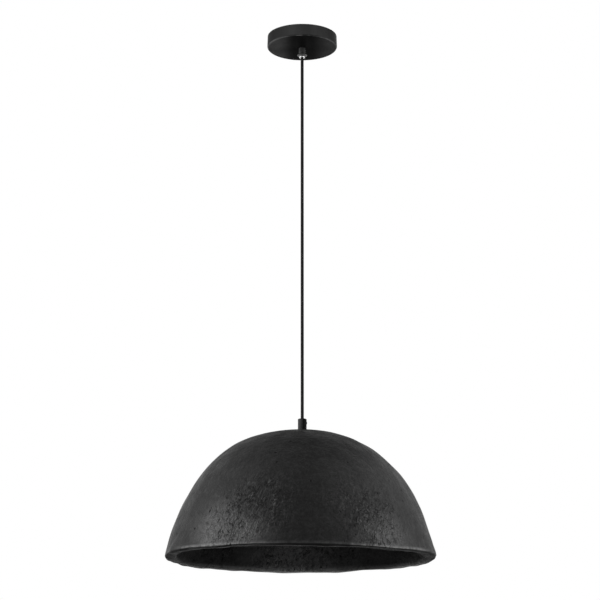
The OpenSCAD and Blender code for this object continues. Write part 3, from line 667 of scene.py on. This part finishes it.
# %% Ripple
def ripple(around, along, size, count, seed):
    """A sum of cosine waves of about one size over the shell, each in its own direction: cos(m a +
    n s + p), with a whole number m of waves round the axis so that the ripple closes, and a seeded
    phase p. It is scaled to a spread of about one."""
    picks = np.random.default_rng(seed)
    pace = 2 * np.pi / (size * picks.uniform(0.7, 1.4, count))
    heading = picks.uniform(0, 2 * np.pi, count)
    m = np.round(pace * np.cos(heading) * shade_r * 0.8)
    n = pace * np.sin(heading)
    phase = picks.uniform(0, 2 * np.pi, count)
    total = np.zeros(np.broadcast(around, along).shape)
    for k in range(count):
        total += np.cos(m[k] * around + n[k] * along + phase[k])
    return total / math.sqrt(count / 2)


seam = ripple(np.array([0, 2 * np.pi]), np.zeros(2), size=0.16, count=24, seed=3)
print("the ripple where a turn begins and ends:", seam.round(6))

# %% [markdown]
# Wear isn't spread evenly either. The pulp is rubbed where it was carried and crumpled where it
# was pressed, and each such place is a soft spot with a middle, a size and a strength. The rubbed
# places also carry a painted sheen, and a few more soft spots lift the painted shade of the inside
# where painted light falls on the back wall. The masks are worked out for all points at once and
# stored on the mesh, where the finish reads them by name.

# %% Soft spots
def mask(piece, name, values):
    """A value from 0 to 1 at each of the piece's points, for its material to read."""
    piece.data.attributes.new(name, "FLOAT", "POINT").data.foreach_set(
        "value", np.ascontiguousarray(values, dtype=np.float32).ravel())


def soft_spots(grid, spots):
    """The strongest of a few soft spots (x, y, z, size, strength) at each point. A spot falls from
    its middle as its strength times exp(-(distance / size) squared)."""
    spots = np.array(spots)
    away = np.linalg.norm(grid[..., None, :] - spots[:, :3], axis=-1)
    return (spots[:, 4] * np.exp(-(away / spots[:, 3]) ** 2)).max(-1)


# Rubbed places: polished, and paler in colour as a painted sheen.
rubbed_and_sheen_places = [
    (-0.112, -0.155, -0.796, 0.040, 1.0), (-0.080, -0.172, -0.808, 0.034, 1.0),
    (0.112, -0.152, -0.808, 0.038, 0.75), (-0.078, -0.165, -0.745, 0.065, 0.20),
    (0.084, -0.160, -0.745, 0.065, 0.22), (-0.150, 0.090, -0.760, 0.050, 0.8),
    (0.155, 0.080, -0.780, 0.055, 0.9), (-0.008, 0.182, -0.785, 0.072, 1.0)]
crumpled_places = [
    (-0.062, -0.174, -0.762, 0.046, 1.0), (-0.098, -0.160, -0.785, 0.040, 0.8),
    (0.100, -0.160, -0.785, 0.045, 0.9), (0.070, -0.170, -0.760, 0.040, 0.5),
    (0.050, 0.160, -0.740, 0.070, 0.9), (-0.025, 0.178, -0.800, 0.050, 1.0),
    (-0.130, 0.110, -0.780, 0.050, 0.8), (0.170, -0.020, -0.780, 0.045, 0.5),
    (-0.080, 0.060, -0.680, 0.045, 0.5)]
# Painted light on the inside back wall, where the painted shade of the inside is lifted.
painted_light_inside_places = [
    (-0.030, 0.178, -0.800, 0.070, 1.0), (0.035, 0.180, -0.805, 0.040, 0.8),
    (0.090, 0.157, -0.805, 0.050, 0.75)]
print(len(rubbed_and_sheen_places), "rubbed and", len(crumpled_places), "crumpled places")

# %% [markdown]
# The outline of the whole shell runs from the hole out over the crown, down the side, round the
# lip and back up the inside. Its points are spaced evenly along each stretch, so that the ripples
# meet faces of about one size. Two things are measured along it: the direction square to the wall,
# and the length run so far, which is the ripples' second coordinate.

# %% Whole outline of the dome
def dome_outline():
    """The outline's points (r, z), the normal at each (the direction from the point before to the
    point after, turned by a quarter), and the length of outline up to each."""
    outside = outer[outer[:, 0] > outer_pad_r]
    inside = inner[inner[:, 0] > inner_pad_r][::-1]
    line = np.concatenate([
        np.linspace([hole_r, crown], [outer_pad_r, crown], 3),
        evenly(outside, 112)[:-1], evenly(lip_points, 34), evenly(inside, 88)[1:],
        np.linspace([inner_pad_r, inner_pad], [hole_r, inner_pad], 6),
        np.linspace([hole_r, inner_pad], [hole_r, crown], 5)[1:-1]])
    way = np.roll(line, -1, axis=0) - np.roll(line, 1, axis=0)
    way /= np.linalg.norm(way, axis=1)[:, None]
    run = np.concatenate([[0], np.cumsum(np.linalg.norm(np.diff(line, axis=0), axis=1))])
    return line, np.stack([-way[:, 1], way[:, 0]], 1), run


dome_line, dome_normal, dome_run = dome_outline()
print("the outline of the dome is", round(float(dome_run[-1]), 3), "m long")

# %% [markdown]
# Now the outline goes round the axis and is pushed about as wet pulp is. Each point moves along
# its own normal by the ripples, the dome leans a little to one side, and its rim hangs lower in
# some places than in others. The lean and the hanging rim move outside and inside together, so
# they leave the wall as thick as it is. Only the ripples differ between the two faces, as the
# press and the hand leave them different.

# %% Points of the dome
def bell(value, width):
    """1 where the value is 0, falling to both sides as exp(-(value / width) squared)."""
    return np.exp(-(value / width) ** 2)


def dome_points(line, normal, run, around=384):
    """At angle a a point of the outline lies at ((r + push n) cos a + sag, (r + push n) sin a) and
    at height z + push n - droop. The push is the sum of the ripples and fades to nothing near the
    crown, so that gland and washer stay seated. The sag depends on the depth below the crown alone.
    The droop is in two soft places behind the sides and, by its own amounts from west to east, in
    front. It fades upwards over 30 mm from the rim."""
    a, s = np.meshgrid(np.arange(around) * 2 * np.pi / around, run)
    r, height, depth = line[:, :1], line[:, 1:] - rim, crown - line[:, 1:]

    def waves(*rows):
        """The sum of several ripples, each given as (height in mm, size, count, seed)."""
        return sum(high * mm * ripple(a, s, size, count, seed) for high, size, count, seed in rows)

    push = np.clip((r - 0.034) / 0.06, 0, 1) ** 2 * waves((0.55, 0.16, 24, 3), (0.16, 0.045, 40, 5))
    push += bell(height, 0.02) * waves((0.36, 0.070, 20, 8), (0.20, 0.022, 30, 9))
    behind = 2.5 * bell(np.abs(a - np.pi / 2) - np.radians(67), np.radians(13))
    front = np.clip(-np.sin(a) / 0.4, 0, 1) * np.interp(
        shade_r * np.cos(a),
        [-0.180, -0.160, -0.130, -0.090, -0.035, 0.020, 0.065, 0.110, 0.135, 0.155, 0.190],
        [-1.4, -0.7, 1.1, 1.4, 2.1, 2.1, 2.8, 3.5, 3.5, 2.1, 0.0])
    z = line[:, 1:] + push * normal[:, 1:] - (behind + front) * mm * bell(height, 0.03)
    sag = np.interp(depth, [0, 0.008, 0.030, 0.060, 0.100, 0.140, 0.172, 0.190],
                    [-1.5, -5.0, -4.2, -3.2, -1.6, -2.2, -3.0, -2.6]) * mm
    rr = r + push * normal[:, :1]
    aside = sag * np.clip((r - 0.026) / 0.050, 0, 1)
    return np.stack([rr * np.cos(a) + aside, rr * np.sin(a), z], -1)


dome_grid = dome_points(dome_line, dome_normal, dome_run)
print("the rim hangs up to", round((rim - float(dome_grid[..., 2].min())) / mm, 1), "mm low")

# %% [markdown]
# With the points known, the masks can be worked out: the painted shade of the inside and of the
# underside of the lip from the outline itself, the painted highlight on the lip's edge from the
# distance to its two corners, and the rest from the soft spots. Far round at the back the painted
# shade of the inside starts higher, the painted shade under the lip fades and the painted highlight
# on the inner corner widens, so the back lip is painted paler.

# %% Dome shell and its masks
def dome_masks(shell, grid, line, normal, run):
    """Every mask is a value from 0 to 1 at each point. Inside and outside are told apart by the
    lowest point of the outline. The painted highlight on the lip's edge is a bell round each of its
    corners, times its strength at that place from west to east."""
    height, depth, lowest = line[:, 1:] - rim, crown - line[:, 1:], run[np.argmin(line[:, 1])]
    back = np.clip(grid[..., 1] / 0.08, 0, 1) * bell(grid[..., 0], 0.15)
    within = (run > lowest)[:, None] * np.clip(
        (height - (0.5 + 4.5 * back) * mm) / ((1.5 + 4 * back) * mm), 0, 1)
    outer_corner, inner_corner = (
        np.linalg.norm(line - corner, axis=1)[:, None] for corner in (
            [shade_r - 0.3 * mm, rim + 2.6 * mm], [shade_r - lip_w + 1.3 * mm, rim + 1.3 * mm]))
    # The strength of the painted highlight along the lip, from west to east.
    handled_and_lit = np.interp(
        grid[..., 0], [-0.185, -0.165, -0.105, -0.070, -0.02, 0.05, 0.09, 0.165, 0.185],
        [0.05, 0.75, 1.0, 0.65, 0.18, 0.22, 0.95, 0.80, 0.05])
    lip_edge = (handled_and_lit * bell(outer_corner, 1.7 * mm)
                + (0.18 + 0.62 * back) * bell(inner_corner, (1.6 + 2.8 * back) * mm))
    # Painted shade where the lip's faces look down.
    under = np.clip((-normal[:, 1:] - 0.12) / 0.42, 0, 1) * (height < 12 * mm)
    # Painted shade on the crown, darkest at the top.
    dull = np.interp(depth, [0, 0.015, 0.075], [1.0, 0.85, 0.0]) * (run < lowest)[:, None]
    # Painted shade inside, lifted where painted light falls on the back wall.
    mask(shell, "inside", within * (1 - soft_spots(grid, painted_light_inside_places)))
    mask(shell, "under", under * (1 - 0.9 * back))
    mask(shell, "lip_edge", lip_edge)
    mask(shell, "dull", np.broadcast_to(dull, back.shape))
    mask(shell, "rubbed", soft_spots(grid, rubbed_and_sheen_places))
    mask(shell, "crumpled", soft_spots(grid, crumpled_places))


dome = skin("dome_shell", dome_grid, sharp=60)
dome_masks(dome, dome_grid, dome_line, dome_normal, dome_run)
dress(dome, pulp, "shade_set", "shade_pulp", "shade")
print("dome has", 2 * len(dome.data.polygons), "triangles")

# %% [markdown]
# ## The canopy
# The canopy is a shallow pan pressed from one millimetre sheet: a flat bottom with a hole for the
# gland, a rounded edge, and a wall that leans in a little towards the ceiling. Two flush screws in
# its side fix it to the bracket. It is turned from a rounded outline, and the screw holes are cut
# with an exact Boolean, because a hole square to a turned wall is not on the grid.

# %% Canopy pan
canopy_r = reach("canopy")
canopy_low = level("canopy")
canopy_top_r = canopy_r - 0.6 * mm
sheet_t = 1 * mm
screw_z = middle_level("canopy_screws")
stud_hole, screw_hole = 4.2 * mm, 2.2 * mm
canopy_line = rounded([
    (stud_hole, canopy_low, 0.15 * mm), (canopy_r, canopy_low, 3 * mm),
    (canopy_top_r, 0, 0.25 * mm), (canopy_top_r - sheet_t, 0, 0.25 * mm),
    (canopy_r - sheet_t, canopy_low + sheet_t, 2 * mm),
    (stud_hole, canopy_low + sheet_t, 0.15 * mm)], steps=9)
canopy_pan = drilled(turned("canopy_pan", canopy_line, around=192),
                     peg("hole_west", screw_hole, -70 * mm, -45 * mm, screw_z),
                     peg("hole_east", screw_hole, 45 * mm, 70 * mm, screw_z))
dress(canopy_pan, canopy_coat, "canopy_set", "canopy_black", "canopy")

# %% [markdown]
# ## The two glands
# Both glands are turned black sleeves with a bore for the cord and a small screw that grips it.
# The upper one ends in a flared collar with a silver ring under it; the lower one is a plain
# sleeve with a softly rounded top that stands on the crown. Their outlines come from the CAD
# sizes, with small radii on every edge, since it is the edges of such pieces that catch the light.

# %% Upper gland
bore, grip_hole_r, stud_r = 2.8 * mm, 1.85 * mm, 4.0 * mm
ring_r = reach("gland_bush")
sleeve_r, collar_r = 5.3 * mm, 7.6 * mm
neck_under = level("canopy_gland")
collar_edge = neck_under + 2.2 * mm
sleeve_end = collar_edge + 2.8 * mm
stud_top = level("canopy_gland", top=True)
plug_r = bore + 1 * mm
upper_line = rounded([
    (bore, stud_top, 0.2 * mm), (stud_r, stud_top, 0.4 * mm), (stud_r, canopy_low, 0),
    (sleeve_r, canopy_low, 0.3 * mm), (sleeve_r, sleeve_end, 0.5 * mm),
    (collar_r, collar_edge, 0.45 * mm), (ring_r + 0.4 * mm, neck_under, 0.25 * mm),
    (plug_r, neck_under, 0.1 * mm), (plug_r, neck_under + 6 * mm, 0),
    (bore, neck_under + 6 * mm, 0)], steps=5)
upper_gland = drilled(turned("upper_gland", upper_line),
                      peg("grip_hole", grip_hole_r, 2 * mm, 12 * mm, middle_level("gland_screw")))
dress(upper_gland, gland_plastic, "canopy_set", "gland_black", "canopy_gland")

# %% [markdown]
# The ring under the collar is turned from bright metal and pressed into the gland's mouth. Its
# bore opens like a funnel, so that the cord can lean without being cut by an edge. It is pale
# against the black gland, and so it is a piece of its own rather than a painted band.

# %% Silver ring
press_r, press_top = plug_r - 0.05 * mm, neck_under + 5.9 * mm
mouth_r, mouth_h = 3.9 * mm, 3 * mm
ring_line = rounded([
    (bore, press_top, 0.1 * mm), (press_r, press_top, 0.1 * mm), (press_r, neck_under, 0),
    (ring_r, neck_under, 0.2 * mm), (ring_r, top_pivot, 0.45 * mm),
    (mouth_r, top_pivot, 0.2 * mm), (bore, top_pivot + mouth_h, 0.3 * mm)], steps=5)
dress(turned("silver_ring", ring_line), bush_metal, "canopy_set", "bush_silver", "gland_bush")

# %% [markdown]
# The lower gland screws onto the top of the threaded tube that carries the dome. It has the same
# funnel at its mouth, and a foot a little wider than the sleeve, which sits on the crown.

# %% Lower gland
gland_top = level("shade_gland", top=True)
lower_r, m10_hole_r = 6.6 * mm, 5.05 * mm
foot_r = lower_r + 0.7 * mm
nipple_grip = level("threaded_nipple", top=True) + 0.2 * mm
lower_line = rounded([
    (bore, gland_top - mouth_h, 0.3 * mm), (mouth_r, gland_top, 0.2 * mm),
    (lower_r, gland_top, 1.1 * mm), (lower_r, crown + 1.4 * mm, 0.5 * mm),
    (foot_r, crown + 0.6 * mm, 0.15 * mm), (foot_r, crown, 0.1 * mm),
    (m10_hole_r, crown, 0.1 * mm), (m10_hole_r, nipple_grip, 0), (bore, nipple_grip, 0)], steps=5)
lower_gland = drilled(turned("lower_gland", lower_line),
                      peg("lower_hole", grip_hole_r, 2 * mm, 14 * mm,
                          middle_level("shade_gland_screw")))
dress(lower_gland, deep_plastic, "shade_set", "gland_black", "shade_gland")

# %% [markdown]
# ## The lampholder
# Inside the dome a black two-piece lampholder hangs from the nipple: a domed cap with grip grooves
# screwed onto a skirt, and in the skirt a thin metal shell rolled into the wide round thread that
# takes the lamp. The grooves are a ripple of the radius with the angle, and the thread is one of
# the height and the angle together, which is all that makes a helix.

# %% Outline of the cap
cap_top, cap_end = level("lampholder_cap", top=True), level("lampholder_cap")
holder_r, holder_wall = 20.5 * mm, 2 * mm
neck_r, neck_end = 8 * mm, cap_top - 8 * mm
shoulder = cap_top - 5 * mm
cap_line = rounded([
    (m10_hole_r, cap_top, 0.2 * mm), (neck_r, cap_top, 0.6 * mm), (neck_r, shoulder, 1.0 * mm),
    (holder_r, shoulder, 9 * mm), (holder_r, cap_end, 0.4 * mm),
    (holder_r - holder_wall, cap_end, 0.2 * mm),
    (holder_r - holder_wall, shoulder - holder_wall, 7 * mm),
    (neck_r, shoulder - holder_wall, 0.4 * mm),
    (neck_r, neck_end, 0.2 * mm), (m10_hole_r, neck_end, 0.2 * mm)], steps=12)
print("the cap is", round(2 * holder_r / mm, 1), "mm across and its outline has",
      len(cap_line), "points")

# %% [markdown]
# The grooves run straight up the cap's wall and fade out below the dome of the cap. A turned
# outline knows nothing of the angle, so the radius is dipped after turning, and the wall needs a
# few rings of its own between top and bottom for the dips to fade over.

# %% Grooved cap
def grooved(name, line, grooves, depth, low, high, around=480):
    """A turned piece whose outer wall dips `grooves` times round: the radius falls by
    depth * cos(grooves * a / 2) to the fourth power at angle a, between two levels, and softly at
    both ends."""
    r, z = line[:, :1], line[:, 1:]
    angle = np.arange(around) * 2 * np.pi / around
    dip = np.cos(grooves * angle / 2) ** 4
    fade = np.clip((z - low) / (0.8 * mm), 0, 1) * np.clip((high - z) / (3 * mm), 0, 1)
    outer_wall = r > holder_r - 1.2 * mm
    rr = r - depth * dip * fade * outer_wall
    x, y = rr * np.cos(angle), rr * np.sin(angle)
    return skin(name, np.stack([x, y, np.broadcast_to(z, rr.shape)], -1))


def with_rings(line, low, high, count):
    """The outline with extra points on its outer wall between two levels, so that it can bend."""
    extra = np.stack([np.full(count, holder_r), np.linspace(high, low, count)], 1)
    wall = np.flatnonzero(np.abs(line[:, 0] - holder_r) < 1e-6)
    first, last = wall[0], wall[-1]
    if line[first, 1] < line[last, 1]:
        extra = extra[::-1]
    return np.concatenate([line[:first + 1], extra, line[last:]])


cap_walled = with_rings(cap_line, cap_end + 0.8 * mm, shoulder - 9.1 * mm, 14)
holder_cap = grooved("holder_cap", cap_walled, 24, 0.6 * mm,
                     cap_end + 1.0 * mm, shoulder - 8.0 * mm)
dress(holder_cap, holder_plastic, "shade_set", "holder_black", "lampholder_cap")

# %% [markdown]
# The skirt is moulded in the same black plastic. Its thinner top slides up into the cap, its
# middle is open for the white insert and the metal shell, and its mouth narrows a little round the
# shell's end. Its outside is plain, so it is turned from one rounded outline.

# %% Skirt
holder_end, body_top = level("lampholder_body"), level("lampholder_body", top=True)
insert_end = level("lampholder_insert")
spigot_r, pocket_r = 18.45 * mm, 16.55 * mm
lip_r, throat_r = 14.6 * mm, 15.2 * mm
skirt_line = rounded([
    (pocket_r, body_top, 0.2 * mm), (spigot_r, body_top, 0.2 * mm), (spigot_r, cap_end, 0),
    (holder_r, cap_end, 0.35 * mm), (holder_r, holder_end, 1.2 * mm),
    (lip_r, holder_end, 0.5 * mm), (lip_r, holder_end + 2 * mm, 0.3 * mm),
    (throat_r, holder_end + 2.6 * mm, 0.2 * mm), (throat_r, insert_end, 0),
    (pocket_r, insert_end, 0)], steps=6)
dress(turned("holder_skirt", skirt_line), holder_plastic, "shade_set", "holder_black",
      "lampholder_body")

# %% [markdown]
# The shell is thin sheet with the round thread of a lamp cap rolled into it. Rolling bends the
# sheet without thinning it, so both faces carry the same wave. Cutting a thread with a Boolean
# would give a thick wall with a groove in it, so the sheet itself is waved instead.

# %% Threaded shell
shell_end = level("screw_shell")
pitch, swing = 3.629 * mm, 0.55 * mm
shell_h, shell_r, shell_hole_r = 25 * mm, 13.55 * mm, 5.2 * mm
bend_r, bend_middle_r = 5 * mm, 8.55 * mm
half_sheet = 0.25 * mm


def rolled_shell(name, around=128, rows=150):
    """A sheet of even thickness, rolled into a thread: at height z and angle a its middle lies at
    radius R + fade * (swing cos(2 pi z / pitch - a) - 0.3 mm), and the fade is 0 at both ends.
    Above the straight part it turns in by a quarter circle to the contact. The two faces are this
    middle moved by half the thickness to either side, and they join at the ends."""
    start = shell_end + shell_h - bend_r
    wall = np.stack([np.full(rows, shell_r), np.linspace(shell_end, start, rows)], 1)
    bend = arc((bend_middle_r, start), bend_r, 0, 90, 12)[1:]
    middle = np.concatenate([wall, bend, [[shell_hole_r, start + bend_r]]])
    angle = np.arange(around) * 2 * np.pi / around
    z = middle[:, 1:]
    fade = (np.clip((z - shell_end - 0.8 * mm) / (2.5 * mm), 0, 1)
            * np.clip((start - z) / (3 * mm), 0, 1))
    wave = swing * fade * np.cos(2 * np.pi * z / pitch - angle) - 0.3 * mm * fade
    way = np.gradient(middle, axis=0)
    way /= np.linalg.norm(way, axis=1)[:, None]
    side = np.stack([way[:, 1], -way[:, 0]], 1)
    layers = []
    for offset in (half_sheet, -half_sheet):
        r = middle[:, :1] + side[:, :1] * offset + wave
        zz = np.broadcast_to(z + side[:, 1:] * offset, r.shape)
        layers.append(np.stack([r * np.cos(angle), r * np.sin(angle), zz], -1))
    return skin(name, np.concatenate([layers[0], layers[1][::-1]]), sharp=70)


dress(rolled_shell("threaded_shell"), shell_sheet, "shade_set", "shell_metal", "screw_shell")

# %% [markdown]
# Behind the centre contact sits a small spring of round wire. Its top end rests against the
# holder and its lower end moves up with the contact when a lamp is screwed in.

# %% Contact spring
def coil(name, radius, wire, low, high, turns, sides=8, steps=150):
    """A wire wound as a helix. At angle a its middle is (R cos a, R sin a, low + climb * a). The
    wire's circle lies in the plane of the outward direction and of its cross product with the
    path."""
    a = np.linspace(0, 2 * np.pi * turns, steps)[:, None]
    climb = (high - low) / a[-1, 0]
    zero = np.zeros_like(a)
    middle = np.concatenate([radius * np.cos(a), radius * np.sin(a), low + climb * a], 1)
    out = np.concatenate([np.cos(a), np.sin(a), zero], 1)
    way = np.concatenate([-radius * np.sin(a), radius * np.cos(a), zero + climb], 1)
    way /= np.linalg.norm(way, axis=1)[:, None]
    side = np.cross(way, out)
    turn = (np.arange(sides) * 2 * np.pi / sides)[:, None]
    circle = np.cos(turn) * out[:, None] + np.sin(turn) * side[:, None]
    return skin(name, middle[:, None] + wire * circle, rows_close=False)


spring_low, spring_top = level("contact_spring"), level("contact_spring", top=True)
spring_wire_r, press = 0.3 * mm, 1.5 * mm
contact_coil = dress(coil("contact_coil", reach("contact_spring") - spring_wire_r, spring_wire_r,
                          spring_low + spring_wire_r, spring_top - spring_wire_r, 3.5),
                     spring_wire, "shade_set", "spring_steel", "contact_spring")
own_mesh(contact_coil)
print("the spring gives way by", round(press / mm, 1), "mm of",
      round((spring_top - spring_low) / mm, 1), "mm")

# %% [markdown]
# ## Washer and nut under the crown
# A steel washer spreads the weight of the dome, and a nut holds it up against the pulp. A real nut
# is a hexagon with its corners turned off, so its side is a function of the angle and its top edge
# drops where the corners reach beyond the turned circle.

# %% Backing washer
washer_low, washer_r = level("backing_washer"), 25 * mm
washer_line = rounded([
    (hole_r, inner_pad, 0.2 * mm), (washer_r, inner_pad, 0.4 * mm),
    (washer_r, washer_low, 0.4 * mm), (hole_r, washer_low, 0.2 * mm)], steps=4)
dress(turned("backing_plate", washer_line, around=128), zinc, "shade_set", "zinc_steel",
      "backing_washer")

# %% [markdown]
# The nut under the crown and the smaller one inside the canopy differ only in size, so one
# function makes both. A cylinder with six sides would have sharp tips, while here the faces'
# outline follows the chamfer as it does on a turned nut.

# %% Hexagon nuts
def hexagon_nut(name, flats, bore_r, low, high, around=192):
    """Round the axis the side lies at flats / 2 / cos(a), with a the angle from the middle of a
    flat. Beyond a circle just inside the flats both faces fall away by 30 degrees, so the side
    starts (side - circle) * tan(30 degrees) lower there."""
    angle = np.arange(around) * 2 * np.pi / around
    a = (angle + np.pi / 6) % (np.pi / 3) - np.pi / 6
    side = flats / 2 / np.cos(a)
    turned_r = flats / 2 * 0.97
    drop = (side - turned_r) * math.tan(math.radians(30))
    rows = [(bore_r, low + 0.5 * mm), (bore_r + 0.5 * mm, low), (turned_r, low),
            (side, low + drop), (side, high - drop), (turned_r, high),
            (bore_r + 0.5 * mm, high), (bore_r, high - 0.5 * mm)]
    r, z = (np.stack([np.broadcast_to(row[k], (around,)) for row in rows]) for k in (0, 1))
    return skin(name, np.stack([r * np.cos(angle), r * np.sin(angle), z], -1), sharp=20)


m8_hole_r, m10_flats, m8_flats = 4.05 * mm, 15 * mm, 13 * mm
nut = hexagon_nut("crown_nut", m10_flats, m10_hole_r,
                  level("nipple_nut"), level("nipple_nut", top=True))
dress(nut, zinc, "shade_set", "zinc_steel", "nipple_nut")
gland_nut = hexagon_nut("gland_nut", m8_flats, m8_hole_r,
                        level("gland_locknut"), level("gland_locknut", top=True))
dress(gland_nut, zinc, "canopy_set", "zinc_steel", "gland_locknut")

# %% [markdown]
# ## The rest of the fittings
# The bracket, terminal block, screws, wires and contacts are already the right shape in the CAD
# model, and most of them hide inside the canopy or the lampholder. They keep their CAD meshes and
# only change their finish.

# %% Finishes for the CAD pieces
finish_of = {
    zinc: ("ceiling_bracket", "gland_washer", "terminal_screws", "threaded_nipple",
           "cap_lock_screw", "holder_terminal_screws"),
    brass: ("terminal_tubes", "earth_screw", "holder_terminals", "live_strip", "centre_contact"),
    black_oxide: ("canopy_screws", "gland_screw", "shade_gland_screw"),
    white_plastic: ("terminal_block",),
    porcelain: ("lampholder_insert",),
    sheath: ("cord_in_canopy", "cord_in_shade"),
    brown_core: ("live_core", "holder_live_core"),
    blue_core: ("neutral_core", "holder_neutral_core"),
}
for material, names in finish_of.items():
    for name in names:
        frame["nodes"][name].data.materials.clear()
        frame["nodes"][name].data.materials.append(material)
    print(material.name, "on", ", ".join(names))

# %% [markdown]
# ## Light, floor and background
# The light hangs in a plain white room. A wide soft lamp stands at each side, a little in front of
# the object, and draws the broad sheen low on both flanks of the dome, while a weak low one in
# front keeps the middle from going quite black. The background is white only to the camera and to
# reflections, so it adds hardly any light of its own to matt surfaces.

# %% Lamps
def soft_lamp(name, at, aim, width, height, power):
    """A flat rectangular lamp at a point, facing another. It shines along its own -Z, so its Z axis
    points away from the aim: tipped by acos(z) and turned by atan2(y, x) + 90 degrees."""
    lamp = bpy.data.objects.new(name, bpy.data.lights.new(name, "AREA"))
    lamp.data.shape, lamp.data.energy = "RECTANGLE", power
    lamp.data.size, lamp.data.size_y = width, height
    lamp.location = at
    away = np.array(at, float) - np.array(aim, float)
    away /= np.linalg.norm(away)
    turn = math.atan2(away[1], away[0]) + math.pi / 2
    lamp.rotation_euler = (math.acos(away[2]), 0.0, turn)
    bpy.context.scene.collection.objects.link(lamp)
    print(name, "is", width, "by", height, "m and gives", power, "W")


middle = (0.0, 0.0, -0.72)
soft_lamp("left_window", (-2.25, -0.42, -0.15), middle, 1.6, 1.3, 64)
soft_lamp("right_window", (2.45, -0.42, -0.25), middle, 1.8, 2.4, 72)
soft_lamp("front_fill", (-0.4, -3.1, -0.95), middle, 1.6, 1.4, 6)

# %% [markdown]
# A white world would also light every matt surface and wash the black out. So the world has two
# brightnesses: white to rays that come from the camera, off a shiny surface or through glass, and
# a dim glow to all others. A maximum of the three kinds of ray is the switch between them.

# %% World
def seen_directly(tree):
    """1 for a ray from the camera, a mirrored one or one through glass, and 0 for a matt one: the
    largest of the three values of the light path."""
    path = add(tree, "LightPath")
    seen = both(tree, path.outputs["Is Camera Ray"], path.outputs["Is Glossy Ray"], "MAXIMUM")
    return both(tree, seen, path.outputs["Is Transmission Ray"], "MAXIMUM")


world = bpy.data.worlds.new("white room")
bpy.context.scene.world = world
world.use_nodes = True
tree = world.node_tree
tree.nodes.clear()
seen = seen_directly(tree)
ambient = add(tree, "Background", {"Color": (1, 1, 1, 1), "Strength": 0.06})
backdrop = add(tree, "Background", {"Color": (1, 1, 1, 1), "Strength": 1.0})
sky = add(tree, "MixShader", {0: seen, 1: ambient.outputs[0], 2: backdrop.outputs[0]})
add(tree, "OutputWorld", {"Surface": sky.outputs[0]})
print("the world is", backdrop.inputs["Strength"].default_value, "to the camera and",
      round(ambient.inputs["Strength"].default_value, 3), "to matt surfaces")

# %% [markdown]
# The floor lies far below the light, pale and matt, and sends a little light back up under the
# dome. Its far edge would show as a line against the background, so with growing distance it turns
# into the same white as the world, by the same switch.

# %% Floor
floor_r, floor_level, floor_sides = 9, -3.6, 96
edge = np.arange(floor_sides) * 2 * np.pi / floor_sides
disc = np.stack([floor_r * np.cos(edge), floor_r * np.sin(edge),
                 np.full(floor_sides, floor_level)], 1)
floor_mesh = bpy.data.meshes.new("floor")
floor_mesh.from_pydata(disc.tolist(), [], [list(range(floor_sides))])
floor = bpy.data.objects.new("floor", floor_mesh)
bpy.context.scene.collection.objects.link(floor)
pale = bpy.data.materials.new("pale floor")
pale.use_nodes = True
tree = pale.node_tree
matt = tree.nodes["Principled BSDF"]
matt.inputs["Base Color"].default_value = grey(0.86)
matt.inputs["Roughness"].default_value = 0.9
matt.inputs["Specular IOR Level"].default_value = 0.1
place = add(tree, "TexCoord").outputs["Object"]
away = add(tree, "VectorMath", {0: place}, operation="LENGTH").outputs["Value"]
seen = seen_directly(tree)
far = both(tree, remap(tree, away, (2.2, 4.5), (0.55, 1.0)), seen)
glow = add(tree, "Emission", {"Color": (1, 1, 1, 1), "Strength": 1.0})
mixed = add(tree, "MixShader", {0: far, 1: matt.outputs[0], 2: glow.outputs[0]})
tree.links.new(mixed.outputs[0], tree.nodes["Material Output"].inputs["Surface"])
floor_mesh.materials.append(pale)
print("the floor is", 2 * floor_r, "m across and lies", -floor_level, "m below the ceiling")

# %% [markdown]
# The Standard view transform shows colours as they are, so that white stays white and the black
# pulp stays black.

# %% View
bpy.context.scene.view_settings.view_transform = "Standard"
print("view transform", bpy.context.scene.view_settings.view_transform)
